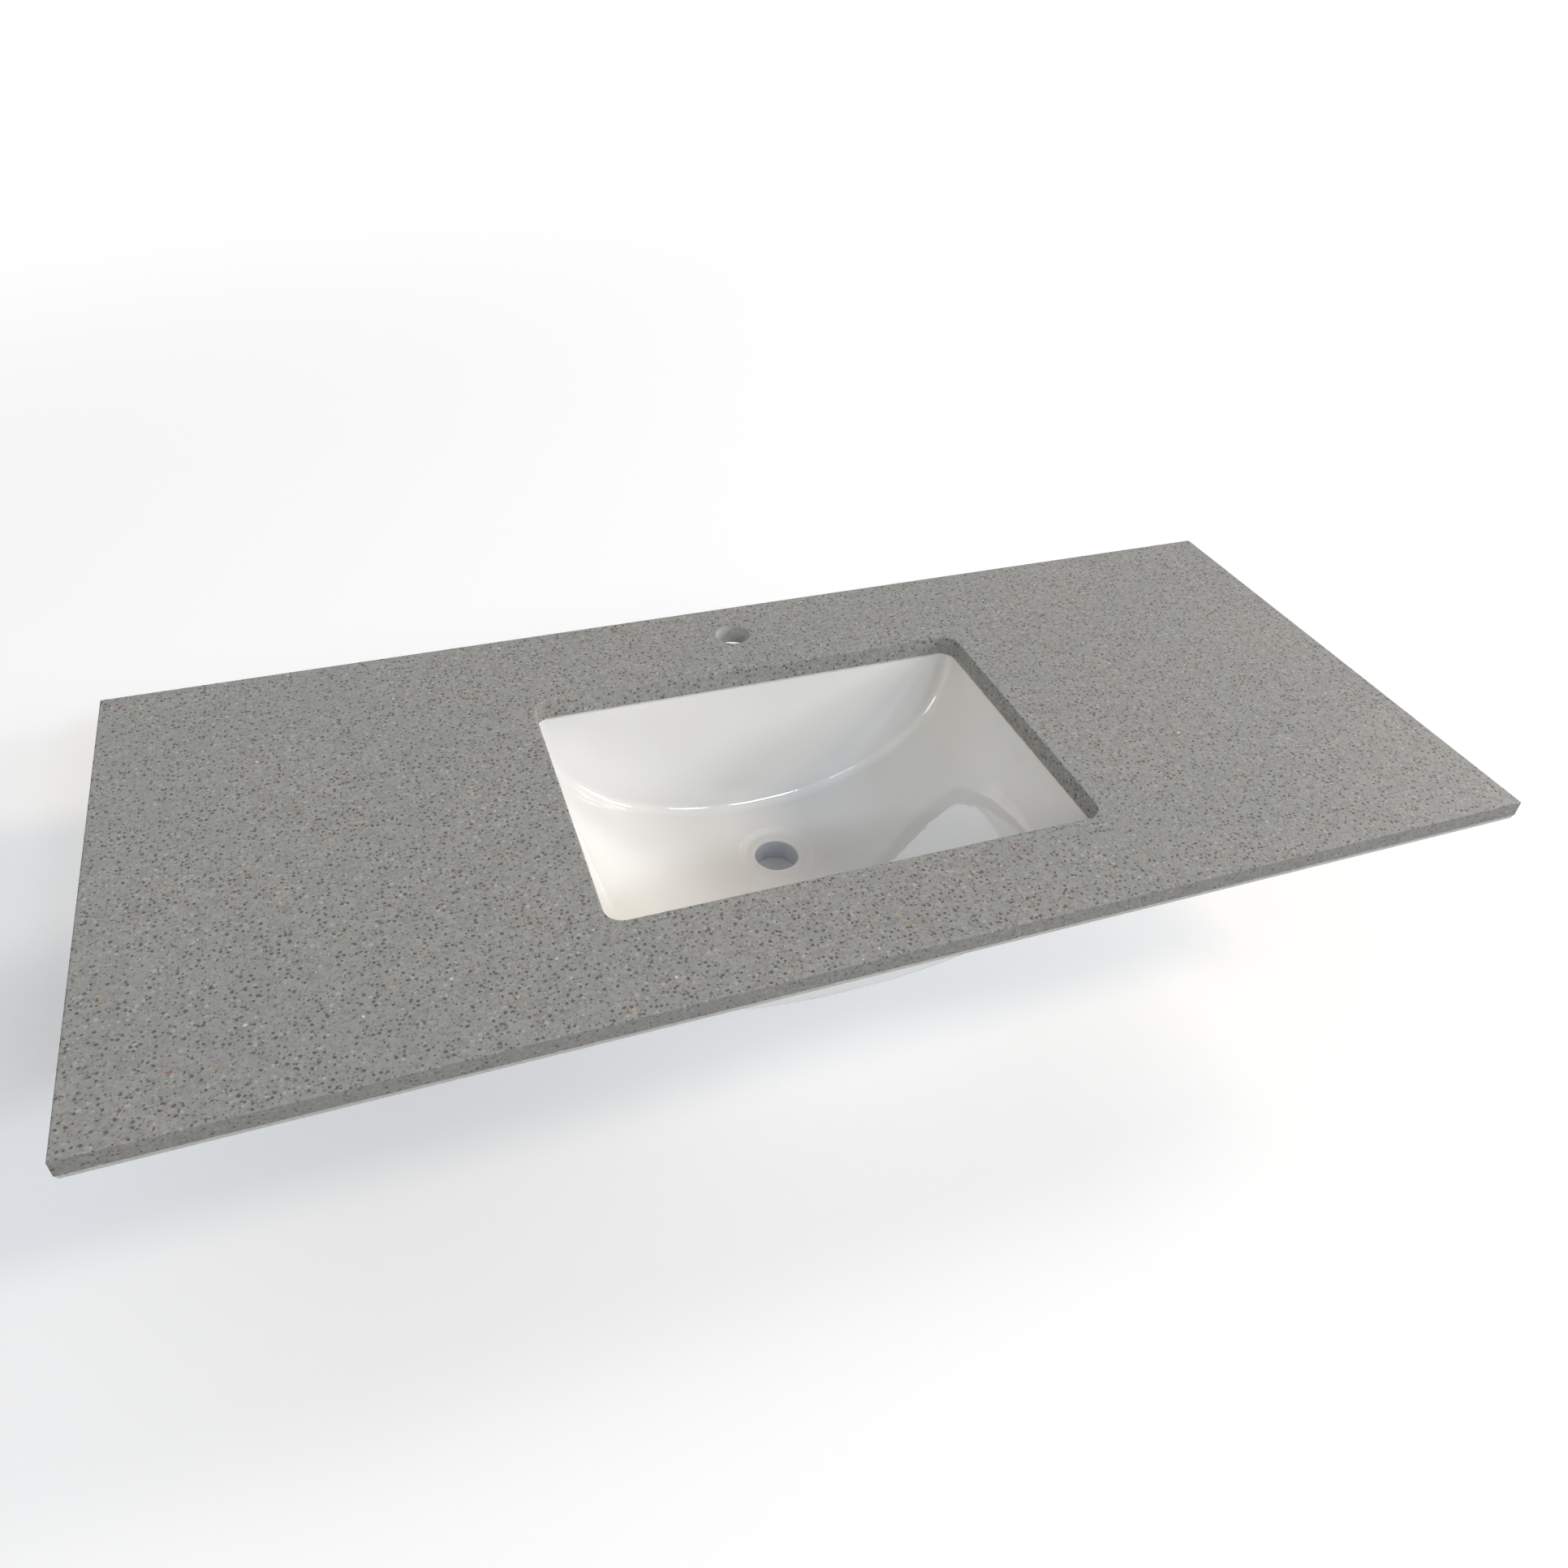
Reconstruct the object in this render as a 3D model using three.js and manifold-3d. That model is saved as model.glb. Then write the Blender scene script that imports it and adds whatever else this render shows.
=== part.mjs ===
import * as THREE from "three";
import { mergeVertices } from "three/addons/utils/BufferGeometryUtils.js";
import Module from "manifold-3d";

// Undermount washbasin: a stone top with a cast china bowl hung under its cut-out on four clips.
// Millimetres. X runs along the top, Y towards the wall and Z up.
// The origin is on the underside of the top, on its centre line, over the middle of the board at
// the back of the cabinet that the top rests on.

const wasm = await Module();
wasm.setup();

// Stone top
const TOP_LENGTH = 1200;
const TOP_DEPTH = 520;
const TOP_THICKNESS = 20;
const TOP_CORNER = 2;
const UPPER_EDGE_ROUND = 1.5;
const LOWER_ARRIS_HEIGHT = 5;
const LOWER_ARRIS_SETBACK = 1.5;
const REAR_BOARD = 18;

// Cut-out for the bowl and hole for the tap
const CUTOUT_LENGTH = 442;
const CUTOUT_WIDTH = 305;
const CUTOUT_CORNER = 16;
const CUTOUT_FROM_BACK = 117.5;
const TAP_HOLE_DIAMETER = 35;
const TAP_HOLE_FROM_BACK = 53;
const TAP_HOLE_BEVEL = 0.8;

// Sealant between the stone and the bowl's rim
const SEAL_THICKNESS = 1.6;
const SEAL_SETBACK = 0.5;
const SEAL_WIDTH = 13;
const SEAT_GAP = 0.3;

// Bowl
const MOUTH_SETBACK = 1;
const BOWL_DEPTH = 140;
const CHINA = 9;
const WALL_LEAN_SHARE = 0.12;
const SECTION_SIDE_POWER = 2.22;
const SECTION_FLOOR_POWER = 2.13;
const VALLEY_AT_MOUTH = 12;
const VALLEY_AT_FLOOR = 13;
const FLOOR_FALL = 8;
const FALL_REACH_X = 190;
const FALL_REACH_Y = 110;
const FLANGE_WIDTH = 28;
const FLANGE_THICKNESS = 14;
const FLANGE_EDGE_ROUND = 4;
const FLANGE_NECK = 8;

// Waste outlet
const WASTE_BORE = 44;
const WASTE_FROM_MOUTH_BACK = 92.5;
const WASTE_RECESS = 64;
const WASTE_RECESS_DEPTH = 2;
const WASTE_SHOULDER = 3;
const WASTE_LIP_ROUND = 3;
const WASTE_BOSS = 74;
const WASTE_BOSS_HEIGHT = 24;
const WASTE_BOSS_ROUND = 3;

// Fixings
const CLIP_SPACING = 260;
const CLIP_STANDOFF = 17;
const ANCHOR_DIAMETER = 10;
const ANCHOR_LENGTH = 12;
const ANCHOR_GROOVE = 0.8;
const STUD_DIAMETER = 6;
const STUD_POINT = 0.8;
const STUD_TIP_CLEARANCE = 1;
const STUD_BELOW_NUT = 10.8;
const CLIP_WIDTH = 18;
const CLIP_SHEET = 2.5;
const CLIP_BEND = 2;
const CLIP_HEEL = 13;
const CLIP_GRIP = 12;
const CLIP_NOSE = 7;
const CLIP_SLOT_PLAY = 4;
const WASHER_DIAMETER = 16;
const WASHER_THICKNESS = 1.6;
const NUT_HUB_TOP = 12;
const NUT_HUB_TIP = 10;
const NUT_HUB_HEIGHT = 7;
const WING_SPAN = 29;
const WING_ROUND = 4.2;
const WING_SHEET = 2.2;
const WING_DROP = 7.5;

const OVERRUN = 2;
const WELD_DISTANCE = 0.0001;

// Facets
const ROUND_STEPS = 4;
const CORNER_STEPS = 8;
const HOLE_SIDES = 48;
const WASHER_SIDES = 20;
const SMALL_SIDES = 16;
const INSIDE_GRID = { stations: 44, valleySteps: 5, floorSteps: 12 };
const OUTSIDE_GRID = { stations: 36, valleySteps: 4, floorSteps: 10 };

// Places worked out from the sizes above
const backEdgeY = REAR_BOARD / 2;
const topCentreY = backEdgeY - TOP_DEPTH / 2;
const cutoutBackY = backEdgeY - CUTOUT_FROM_BACK;
const cutoutCentreY = cutoutBackY - CUTOUT_WIDTH / 2;
const mouthHalfLength = CUTOUT_LENGTH / 2 + MOUTH_SETBACK;
const mouthHalfWidth = CUTOUT_WIDTH / 2 + MOUTH_SETBACK;
const rimZ = -SEAT_GAP - SEAL_THICKNESS - SEAT_GAP;
const flangeUnderZ = rimZ - FLANGE_THICKNESS;
const floorZ = rimZ - BOWL_DEPTH;
const wasteY = cutoutBackY - WASTE_FROM_MOUTH_BACK;
const wasteSeatZ = floorZ - FLOOR_FALL - WASTE_RECESS_DEPTH;
const bossUnderZ = wasteSeatZ - WASTE_BOSS_HEIGHT;
const clipWebTopZ = flangeUnderZ - SEAT_GAP;
const washerTopZ = clipWebTopZ - CLIP_SHEET - SEAT_GAP;
const nutTopZ = washerTopZ - WASHER_THICKNESS - SEAT_GAP;
const nutUnderZ = nutTopZ - NUT_HUB_HEIGHT;

// Solids and meshes

function toSolid(geometry) {
  const bare = geometry.clone();
  bare.deleteAttribute("normal");
  bare.deleteAttribute("uv");
  const merged = mergeVertices(bare, WELD_DISTANCE);
  const kept = [];
  const index = merged.index.array;
  for (let i = 0; i < index.length; i += 3) {
    const [a, b, c] = [index[i], index[i + 1], index[i + 2]];
    const hasArea = a !== b && b !== c && c !== a;
    if (hasArea) kept.push(a, b, c);
  }
  const mesh = new wasm.Mesh({
    numProp: 3,
    vertProperties: new Float32Array(merged.attributes.position.array),
    triVerts: new Uint32Array(kept),
  });
  return new wasm.Manifold(mesh);
}

function toGeometry(solid) {
  const mesh = solid.getMesh();
  const geometry = new THREE.BufferGeometry();
  geometry.setAttribute("position", new THREE.BufferAttribute(mesh.vertProperties, 3));
  geometry.setIndex(new THREE.BufferAttribute(mesh.triVerts, 1));
  geometry.computeVertexNormals();
  return geometry;
}

function finish(color, roughness, metalness) {
  return new THREE.MeshStandardMaterial({ color, roughness, metalness });
}

function piece(name, solid, material) {
  const mesh = new THREE.Mesh(toGeometry(solid), material());
  mesh.name = name;
  return mesh;
}

const stone = () => finish(0x918f89, 0.35, 0);
const china = () => finish(0xe9e7e2, 0.08, 0);
const sealant = () => finish(0xe4e3de, 0.45, 0);
const brass = () => finish(0xb48f52, 0.35, 1);
const zincSteel = () => finish(0xb4b8bc, 0.38, 1);

// Outlines and lofts

// Points round a rectangle with round corners, anticlockwise, the same count for every size.
function roundedOutline(halfX, halfY, radius, centreY = 0) {
  const points = [];
  const corners = [
    [1, 1, 0],
    [-1, 1, Math.PI / 2],
    [-1, -1, Math.PI],
    [1, -1, 1.5 * Math.PI],
  ];
  for (const [sx, sy, start] of corners) {
    const cx = sx * (halfX - radius);
    const cy = sy * (halfY - radius) + centreY;
    for (let i = 0; i <= CORNER_STEPS; i++) {
      const angle = start + (i / CORNER_STEPS) * (Math.PI / 2);
      points.push(new THREE.Vector2(cx + radius * Math.cos(angle), cy + radius * Math.sin(angle)));
    }
  }
  return points;
}

// The outline of the cut-out, grown on all sides.
function cutoutOutline(growth) {
  const halfX = CUTOUT_LENGTH / 2 + growth;
  const halfY = CUTOUT_WIDTH / 2 + growth;
  return roundedOutline(halfX, halfY, CUTOUT_CORNER + growth, cutoutCentreY);
}

// A closed solid through level outlines of equal count, from the lowest to the highest.
function loft(levels) {
  const positions = [];
  const indices = [];
  const count = levels[0].outline.length;
  for (const { z, outline } of levels) {
    for (const point of outline) positions.push(point.x, point.y, z);
  }
  for (let level = 0; level + 1 < levels.length; level++) {
    for (let i = 0; i < count; i++) {
      const a = level * count + i;
      const b = level * count + ((i + 1) % count);
      indices.push(a, b, b + count, a, b + count, a + count);
    }
  }
  const last = (levels.length - 1) * count;
  for (const [a, b, c] of THREE.ShapeUtils.triangulateShape(levels[0].outline, [])) {
    indices.push(a, c, b);
  }
  for (const [a, b, c] of THREE.ShapeUtils.triangulateShape(levels[levels.length - 1].outline, [])) {
    indices.push(last + a, last + b, last + c);
  }
  const geometry = new THREE.BufferGeometry();
  geometry.setAttribute("position", new THREE.Float32BufferAttribute(positions, 3));
  geometry.setIndex(indices);
  return toSolid(geometry);
}

// Insets and heights of a quarter round at the top of an edge, from its foot to its crown.
function quarterRound(radius) {
  const steps = [];
  for (let i = 0; i <= ROUND_STEPS; i++) {
    const angle = (i / ROUND_STEPS) * (Math.PI / 2);
    steps.push({ inset: radius * (1 - Math.cos(angle)), rise: radius * Math.sin(angle) });
  }
  return steps;
}

// A solid turned about the Z axis from a profile of [radius, height] pairs, listed downwards. A
// profile that stands off the axis all the way is closed by repeating its first point.
function turned(profile, sides, standsOff = false) {
  const points = profile.map(([radius, height]) => new THREE.Vector2(radius, height));
  if (standsOff) points.push(points[0].clone());
  const geometry = new THREE.LatheGeometry(points.reverse(), sides);
  geometry.rotateX(Math.PI / 2);
  return toSolid(geometry);
}

function cylinder(diameter, bottom, top, sides = SMALL_SIDES) {
  const radius = diameter / 2;
  return turned([[0, top], [radius, top], [radius, bottom], [0, bottom]], sides);
}

function extruded(shape, bottom, height) {
  const geometry = new THREE.ExtrudeGeometry(shape, {
    depth: height,
    bevelEnabled: false,
    curveSegments: CORNER_STEPS,
  });
  geometry.translate(0, 0, bottom);
  return toSolid(geometry);
}

// Stone top

function clipPlaces() {
  const flangeReach = mouthHalfWidth + FLANGE_WIDTH + CLIP_STANDOFF;
  const places = [];
  for (const [side, towardsBowl] of [["back", -1], ["front", 1]]) {
    for (const [hand, sign] of [["left", -1], ["right", 1]]) {
      places.push({
        name: `${side}_${hand}`,
        x: (sign * CLIP_SPACING) / 2,
        y: cutoutCentreY - towardsBowl * flangeReach,
        towardsBowl,
      });
    }
  }
  return places;
}

function slabBlank() {
  const outline = (inset) =>
    roundedOutline(TOP_LENGTH / 2 - inset, TOP_DEPTH / 2 - inset, TOP_CORNER, topCentreY);
  const levels = [
    { z: 0, outline: outline(LOWER_ARRIS_SETBACK) },
    { z: LOWER_ARRIS_HEIGHT, outline: outline(0) },
  ];
  for (const { inset, rise } of quarterRound(UPPER_EDGE_ROUND)) {
    levels.push({ z: TOP_THICKNESS - UPPER_EDGE_ROUND + rise, outline: outline(inset) });
  }
  return loft(levels);
}

function cutoutTool() {
  const levels = [{ z: -OVERRUN, outline: cutoutOutline(0) }];
  for (const { inset, rise } of quarterRound(UPPER_EDGE_ROUND)) {
    levels.push({ z: TOP_THICKNESS - UPPER_EDGE_ROUND + rise, outline: cutoutOutline(inset) });
  }
  levels.push({ z: TOP_THICKNESS + OVERRUN, outline: cutoutOutline(UPPER_EDGE_ROUND) });
  return loft(levels);
}

function tapHoleTool() {
  const radius = TAP_HOLE_DIAMETER / 2;
  const mouth = radius + TAP_HOLE_BEVEL;
  const profile = [
    [0, TOP_THICKNESS + OVERRUN],
    [mouth, TOP_THICKNESS + OVERRUN],
    [mouth, TOP_THICKNESS],
    [radius, TOP_THICKNESS - TAP_HOLE_BEVEL],
    [radius, -OVERRUN],
    [0, -OVERRUN],
  ];
  return turned(profile, HOLE_SIDES).translate([0, backEdgeY - TAP_HOLE_FROM_BACK, 0]);
}

function stoneTop() {
  let slab = slabBlank().subtract(cutoutTool()).subtract(tapHoleTool());
  const socket = cylinder(ANCHOR_DIAMETER + 2 * SEAT_GAP, -OVERRUN, ANCHOR_LENGTH + SEAT_GAP);
  for (const { x, y } of clipPlaces()) {
    slab = slab.subtract(socket.translate([x, y, 0]));
  }
  return slab;
}

// Sealant bead, set back from the edge of the cut-out

function sealantBead() {
  const plate = (growth, bottom, top) =>
    loft([
      { z: bottom, outline: cutoutOutline(growth) },
      { z: top, outline: cutoutOutline(growth) },
    ]);
  const bottom = rimZ + SEAT_GAP;
  const strip = plate(SEAL_SETBACK + SEAL_WIDTH, bottom, bottom + SEAL_THICKNESS);
  return strip.subtract(plate(SEAL_SETBACK, bottom - OVERRUN, OVERRUN));
}

// Bowl

// How far the floor has sunk at a place, as it falls from all sides to the waste.
function floorSink(x, y, fall) {
  const reach = Math.hypot(x / FALL_REACH_X, (y - wasteY) / FALL_REACH_Y);
  return reach < 1 ? (fall * (1 + Math.cos(Math.PI * reach))) / 2 : 0;
}

// One station of the U section: its point on the trough, and the way into the bowl from there.
function sectionStation(turn, form) {
  const sine = Math.abs(Math.sin(turn));
  const cosine = Math.abs(Math.cos(turn));
  const across = sine ** (2 / SECTION_SIDE_POWER);
  const down = cosine ** (2 / SECTION_FLOOR_POWER);
  const hand = Math.sign(turn) || 1;
  const depth = form.topZ - form.floorZ;
  const slopeX = (SECTION_SIDE_POWER / form.halfLength) * across ** (SECTION_SIDE_POWER - 1);
  const slopeZ = (SECTION_FLOOR_POWER / depth) * down ** (SECTION_FLOOR_POWER - 1);
  const length = Math.hypot(slopeX, slopeZ);
  return {
    x: hand * form.halfLength * across,
    z: form.topZ - depth * down,
    inX: (-hand * slopeX) / length,
    inZ: slopeZ / length,
    valley: form.valleyAtFloor + (form.valleyAtMouth - form.valleyAtFloor) * across,
  };
}

// The rolled valley between the trough and an end wall, from the trough up to the wall.
function valleyPoints(station, form, side) {
  const lean = WALL_LEAN_SHARE * station.inZ;
  const footY = side * (form.halfWidth - WALL_LEAN_SHARE * (form.topZ - station.z));
  const wallAngle = Math.PI / 2 + Math.atan(lean);
  const tangent = station.valley / Math.tan(wallAngle / 2);
  const points = [];
  for (let i = 0; i <= form.valleySteps; i++) {
    const angle = 1.5 * Math.PI - (i / form.valleySteps) * (Math.PI / 2 - Math.atan(lean));
    const along = tangent + station.valley * Math.cos(angle);
    const inward = station.valley * (1 + Math.sin(angle));
    points.push(
      new THREE.Vector3(
        station.x + station.inX * inward,
        cutoutCentreY + footY - side * along,
        station.z + station.inZ * inward,
      ),
    );
  }
  return points;
}

// A trough of U section closed by two leaning end walls, as one solid with a flat top.
function trough(form) {
  const rows = [];
  for (let i = 0; i <= form.stations; i++) {
    const station = sectionStation((i / form.stations - 0.5) * Math.PI, form);
    const front = valleyPoints(station, form, -1).reverse();
    const back = valleyPoints(station, form, 1);
    const from = front[front.length - 1];
    const row = [new THREE.Vector3(front[0].x, cutoutCentreY - form.halfWidth, form.topZ), ...front];
    for (let k = 1; k < form.floorSteps; k++) {
      row.push(from.clone().lerp(back[0], k / form.floorSteps));
    }
    row.push(...back);
    row.push(new THREE.Vector3(row[row.length - 1].x, cutoutCentreY + form.halfWidth, form.topZ));
    for (const point of row.slice(1, -1)) point.z -= floorSink(point.x, point.y, form.fall);
    rows.push(row);
  }
  return toSolid(closedGrid(rows, new THREE.Vector3(0, cutoutCentreY, form.topZ)));
}

// A grid of rows closed by a fan to one point of its open side.
function closedGrid(rows, middle) {
  const width = rows[0].length;
  const positions = rows.flat().flatMap((point) => [point.x, point.y, point.z]);
  const indices = [];
  for (let i = 0; i + 1 < rows.length; i++) {
    for (let k = 0; k + 1 < width; k++) {
      const a = i * width + k;
      indices.push(a, a + 1, a + width, a + 1, a + width + 1, a + width);
    }
  }
  const rim = [];
  for (let k = 0; k < width; k++) rim.push(k);
  for (let i = 1; i < rows.length; i++) rim.push(i * width + width - 1);
  for (let k = width - 2; k >= 0; k--) rim.push((rows.length - 1) * width + k);
  for (let i = rows.length - 2; i > 0; i--) rim.push(i * width);
  const centre = positions.length / 3;
  positions.push(middle.x, middle.y, middle.z);
  rim.forEach((a, i) => indices.push(a, centre, rim[(i + 1) % rim.length]));
  const geometry = new THREE.BufferGeometry();
  geometry.setAttribute("position", new THREE.Float32BufferAttribute(positions, 3));
  geometry.setIndex(indices);
  return geometry;
}

function bowlInside() {
  return trough({
    topZ: rimZ + OVERRUN,
    floorZ,
    halfLength: mouthHalfLength,
    halfWidth: mouthHalfWidth,
    valleyAtMouth: VALLEY_AT_MOUTH,
    valleyAtFloor: VALLEY_AT_FLOOR,
    fall: FLOOR_FALL,
    ...INSIDE_GRID,
  });
}

function bowlOutside() {
  return trough({
    topZ: rimZ - FLANGE_THICKNESS / 2,
    floorZ: floorZ - CHINA,
    halfLength: mouthHalfLength + CHINA,
    halfWidth: mouthHalfWidth + CHINA,
    valleyAtMouth: VALLEY_AT_MOUTH + CHINA,
    valleyAtFloor: VALLEY_AT_FLOOR + CHINA,
    fall: FLOOR_FALL,
    ...OUTSIDE_GRID,
  });
}

// The flange that the clips press, with a rounded lower edge and a splayed neck into the bowl.
function bowlFlange() {
  const reach = MOUTH_SETBACK + FLANGE_WIDTH;
  const splay = MOUTH_SETBACK + CHINA + FLANGE_NECK / 2;
  const plate = [];
  for (const { inset, rise } of quarterRound(FLANGE_EDGE_ROUND).reverse()) {
    const z = flangeUnderZ + FLANGE_EDGE_ROUND - rise;
    plate.push({ z, outline: cutoutOutline(reach - inset) });
  }
  plate.push({ z: rimZ, outline: cutoutOutline(reach) });
  const neck = [
    { z: flangeUnderZ - FLANGE_NECK, outline: cutoutOutline(MOUTH_SETBACK) },
    { z: flangeUnderZ, outline: cutoutOutline(splay) },
    { z: rimZ - FLANGE_EDGE_ROUND, outline: cutoutOutline(splay) },
  ];
  return loft(plate).add(loft(neck));
}

function wasteBoss() {
  const radius = WASTE_BOSS / 2;
  const profile = [
    [0, floorZ],
    [radius + WASTE_BOSS_ROUND, floorZ],
    [radius, floorZ - CHINA - FLOOR_FALL],
    [radius, bossUnderZ + WASTE_BOSS_ROUND],
    [radius - WASTE_BOSS_ROUND, bossUnderZ],
    [0, bossUnderZ],
  ];
  return turned(profile, HOLE_SIDES).translate([0, wasteY, 0]);
}

// The bore and the round recess that the waste's flange sits in, with soft edges.
function wasteTool() {
  const bore = WASTE_BORE / 2;
  const recess = WASTE_RECESS / 2;
  const top = wasteSeatZ + WASTE_RECESS_DEPTH + WASTE_SHOULDER;
  const profile = [
    [0, top],
    [recess + WASTE_RECESS_DEPTH + WASTE_SHOULDER, top],
    [recess, wasteSeatZ],
    [bore + WASTE_LIP_ROUND, wasteSeatZ],
  ];
  for (let i = 1; i <= ROUND_STEPS; i++) {
    const angle = (i / ROUND_STEPS) * (Math.PI / 2);
    profile.push([
      bore + WASTE_LIP_ROUND * (1 - Math.sin(angle)),
      wasteSeatZ - WASTE_LIP_ROUND * (1 - Math.cos(angle)),
    ]);
  }
  profile.push([bore, bossUnderZ - OVERRUN], [0, bossUnderZ - OVERRUN]);
  return turned(profile, HOLE_SIDES).translate([0, wasteY, 0]);
}

function basinBowl() {
  const cast = bowlOutside().add(bowlFlange()).add(wasteBoss());
  return cast.subtract(bowlInside()).subtract(wasteTool());
}

// Fixings, each built round the axis of its stud

function anchor() {
  const radius = ANCHOR_DIAMETER / 2;
  const bore = STUD_DIAMETER / 2 + SEAT_GAP;
  const third = ANCHOR_LENGTH / 3;
  const profile = [
    [bore, ANCHOR_LENGTH],
    [radius - ANCHOR_GROOVE, ANCHOR_LENGTH],
    [radius, ANCHOR_LENGTH - ANCHOR_GROOVE],
    [radius, 2 * third],
    [radius - ANCHOR_GROOVE, 2 * third - ANCHOR_GROOVE],
    [radius - ANCHOR_GROOVE, third + ANCHOR_GROOVE],
    [radius, third],
    [radius, 0],
    [bore, 0],
  ];
  return turned(profile, SMALL_SIDES, true);
}

function stud() {
  const radius = STUD_DIAMETER / 2;
  const top = ANCHOR_LENGTH - STUD_TIP_CLEARANCE;
  const bottom = nutUnderZ - STUD_BELOW_NUT;
  const profile = [
    [0, top],
    [radius - STUD_POINT, top],
    [radius, top - STUD_POINT],
    [radius, bottom + STUD_POINT],
    [radius - STUD_POINT, bottom],
    [0, bottom],
  ];
  return turned(profile, SMALL_SIDES);
}

// Side view of the pressed clip: the heel bears on the stone, the toe reaches under the flange.
function clipSideShape() {
  const heel = -CLIP_HEEL;
  const toe = CLIP_STANDOFF + CLIP_GRIP;
  const under = clipWebTopZ - CLIP_SHEET;
  const outer = CLIP_BEND + CLIP_SHEET;
  const shape = new THREE.Shape();
  shape.moveTo(heel, -SEAT_GAP);
  shape.lineTo(heel, under + outer);
  shape.absarc(heel + outer, under + outer, outer, Math.PI, 1.5 * Math.PI);
  shape.lineTo(toe, under);
  shape.lineTo(toe, clipWebTopZ);
  shape.lineTo(heel + outer, clipWebTopZ);
  shape.absarc(heel + outer, under + outer, CLIP_BEND, 1.5 * Math.PI, Math.PI, true);
  shape.lineTo(heel + CLIP_SHEET, -SEAT_GAP);
  return shape;
}

// Plan of the clip, with the two corners of its toe rounded.
function clipPlanShape() {
  const half = CLIP_WIDTH / 2;
  const heel = -CLIP_HEEL - OVERRUN;
  const toe = CLIP_STANDOFF + CLIP_GRIP;
  const shape = new THREE.Shape();
  shape.moveTo(heel, -half);
  shape.lineTo(toe - CLIP_NOSE, -half);
  shape.absarc(toe - CLIP_NOSE, CLIP_NOSE - half, CLIP_NOSE, -Math.PI / 2, 0);
  shape.absarc(toe - CLIP_NOSE, half - CLIP_NOSE, CLIP_NOSE, 0, Math.PI / 2);
  shape.lineTo(heel, half);
  return shape;
}

function slotShape() {
  const radius = STUD_DIAMETER / 2 + SEAT_GAP;
  const shape = new THREE.Shape();
  shape.absarc(-CLIP_SLOT_PLAY, 0, radius, Math.PI / 2, 1.5 * Math.PI);
  shape.absarc(CLIP_SLOT_PLAY, 0, radius, -Math.PI / 2, Math.PI / 2);
  return shape;
}

function clip() {
  const side = new THREE.ExtrudeGeometry(clipSideShape(), {
    depth: CLIP_WIDTH,
    bevelEnabled: false,
    curveSegments: ROUND_STEPS,
  });
  side.translate(0, 0, -CLIP_WIDTH / 2);
  side.rotateX(Math.PI / 2);
  const bottom = clipWebTopZ - CLIP_SHEET - OVERRUN;
  return toSolid(side)
    .intersect(extruded(clipPlanShape(), bottom, OVERRUN - bottom))
    .subtract(extruded(slotShape(), bottom, CLIP_SHEET + 2 * OVERRUN));
}

function washer() {
  const bore = STUD_DIAMETER / 2 + SEAT_GAP;
  const radius = WASHER_DIAMETER / 2;
  const under = washerTopZ - WASHER_THICKNESS;
  const profile = [[bore, washerTopZ], [radius, washerTopZ], [radius, under], [bore, under]];
  return turned(profile, WASHER_SIDES, true);
}

function wingShape() {
  const centreX = WING_SPAN / 2 - WING_ROUND;
  const centreZ = nutTopZ - WING_DROP;
  const root = STUD_DIAMETER / 2 + 2 * SEAT_GAP;
  const shape = new THREE.Shape();
  shape.moveTo(root, nutUnderZ + WING_SHEET / 2);
  shape.lineTo(centreX, centreZ - WING_ROUND);
  shape.absarc(centreX, centreZ, WING_ROUND, -Math.PI / 2, Math.PI / 2);
  shape.lineTo(root, nutTopZ - WING_SHEET / 2);
  return shape;
}

function wing(turn) {
  const geometry = new THREE.ExtrudeGeometry(wingShape(), {
    depth: WING_SHEET,
    bevelEnabled: false,
    curveSegments: CORNER_STEPS,
  });
  geometry.translate(0, 0, -WING_SHEET / 2);
  geometry.rotateX(Math.PI / 2);
  geometry.rotateZ(turn);
  return toSolid(geometry);
}

function wingNut() {
  const profile = [
    [0, nutTopZ],
    [NUT_HUB_TOP / 2, nutTopZ],
    [NUT_HUB_TIP / 2, nutUnderZ],
    [0, nutUnderZ],
  ];
  const hub = turned(profile, SMALL_SIDES);
  const bore = cylinder(STUD_DIAMETER + 2 * SEAT_GAP, nutUnderZ - OVERRUN, nutTopZ + OVERRUN);
  return hub.add(wing(0)).add(wing(Math.PI)).subtract(bore);
}

// One set of fixings, standing on its stud's axis and turned to face the bowl.
function fixingSet({ name, x, y, towardsBowl }) {
  const group = new THREE.Group();
  group.position.set(x, y, 0);
  group.rotation.z = (towardsBowl * Math.PI) / 2;
  group.add(
    piece(`anchor_${name}`, anchor(), brass),
    piece(`stud_${name}`, stud(), zincSteel),
    piece(`clip_${name}`, clip(), zincSteel),
    piece(`washer_${name}`, washer(), zincSteel),
    piece(`wing_nut_${name}`, wingNut(), zincSteel),
  );
  return group;
}

const washbasin = new THREE.Group();
washbasin.add(
  piece("stone_top", stoneTop(), stone),
  piece("silicone_bead", sealantBead(), sealant),
  piece("basin_bowl", basinBowl(), china),
);
for (const place of clipPlaces()) washbasin.add(fixingSet(place));

export default washbasin;
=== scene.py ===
"""Dresses an undermount washbasin: a stone top with a china bowl sealed and clipped under it.

Everything is in metres and in the frame of the part: X runs along the top, Y towards the wall and
Z up, with the underside of the stone at zero.
"""

import logging
import math
from dataclasses import dataclass, field
from enum import Enum
from typing import Callable, Iterable, Sequence, Union

import bmesh
import bpy
from mathutils import Matrix, Vector


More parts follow.
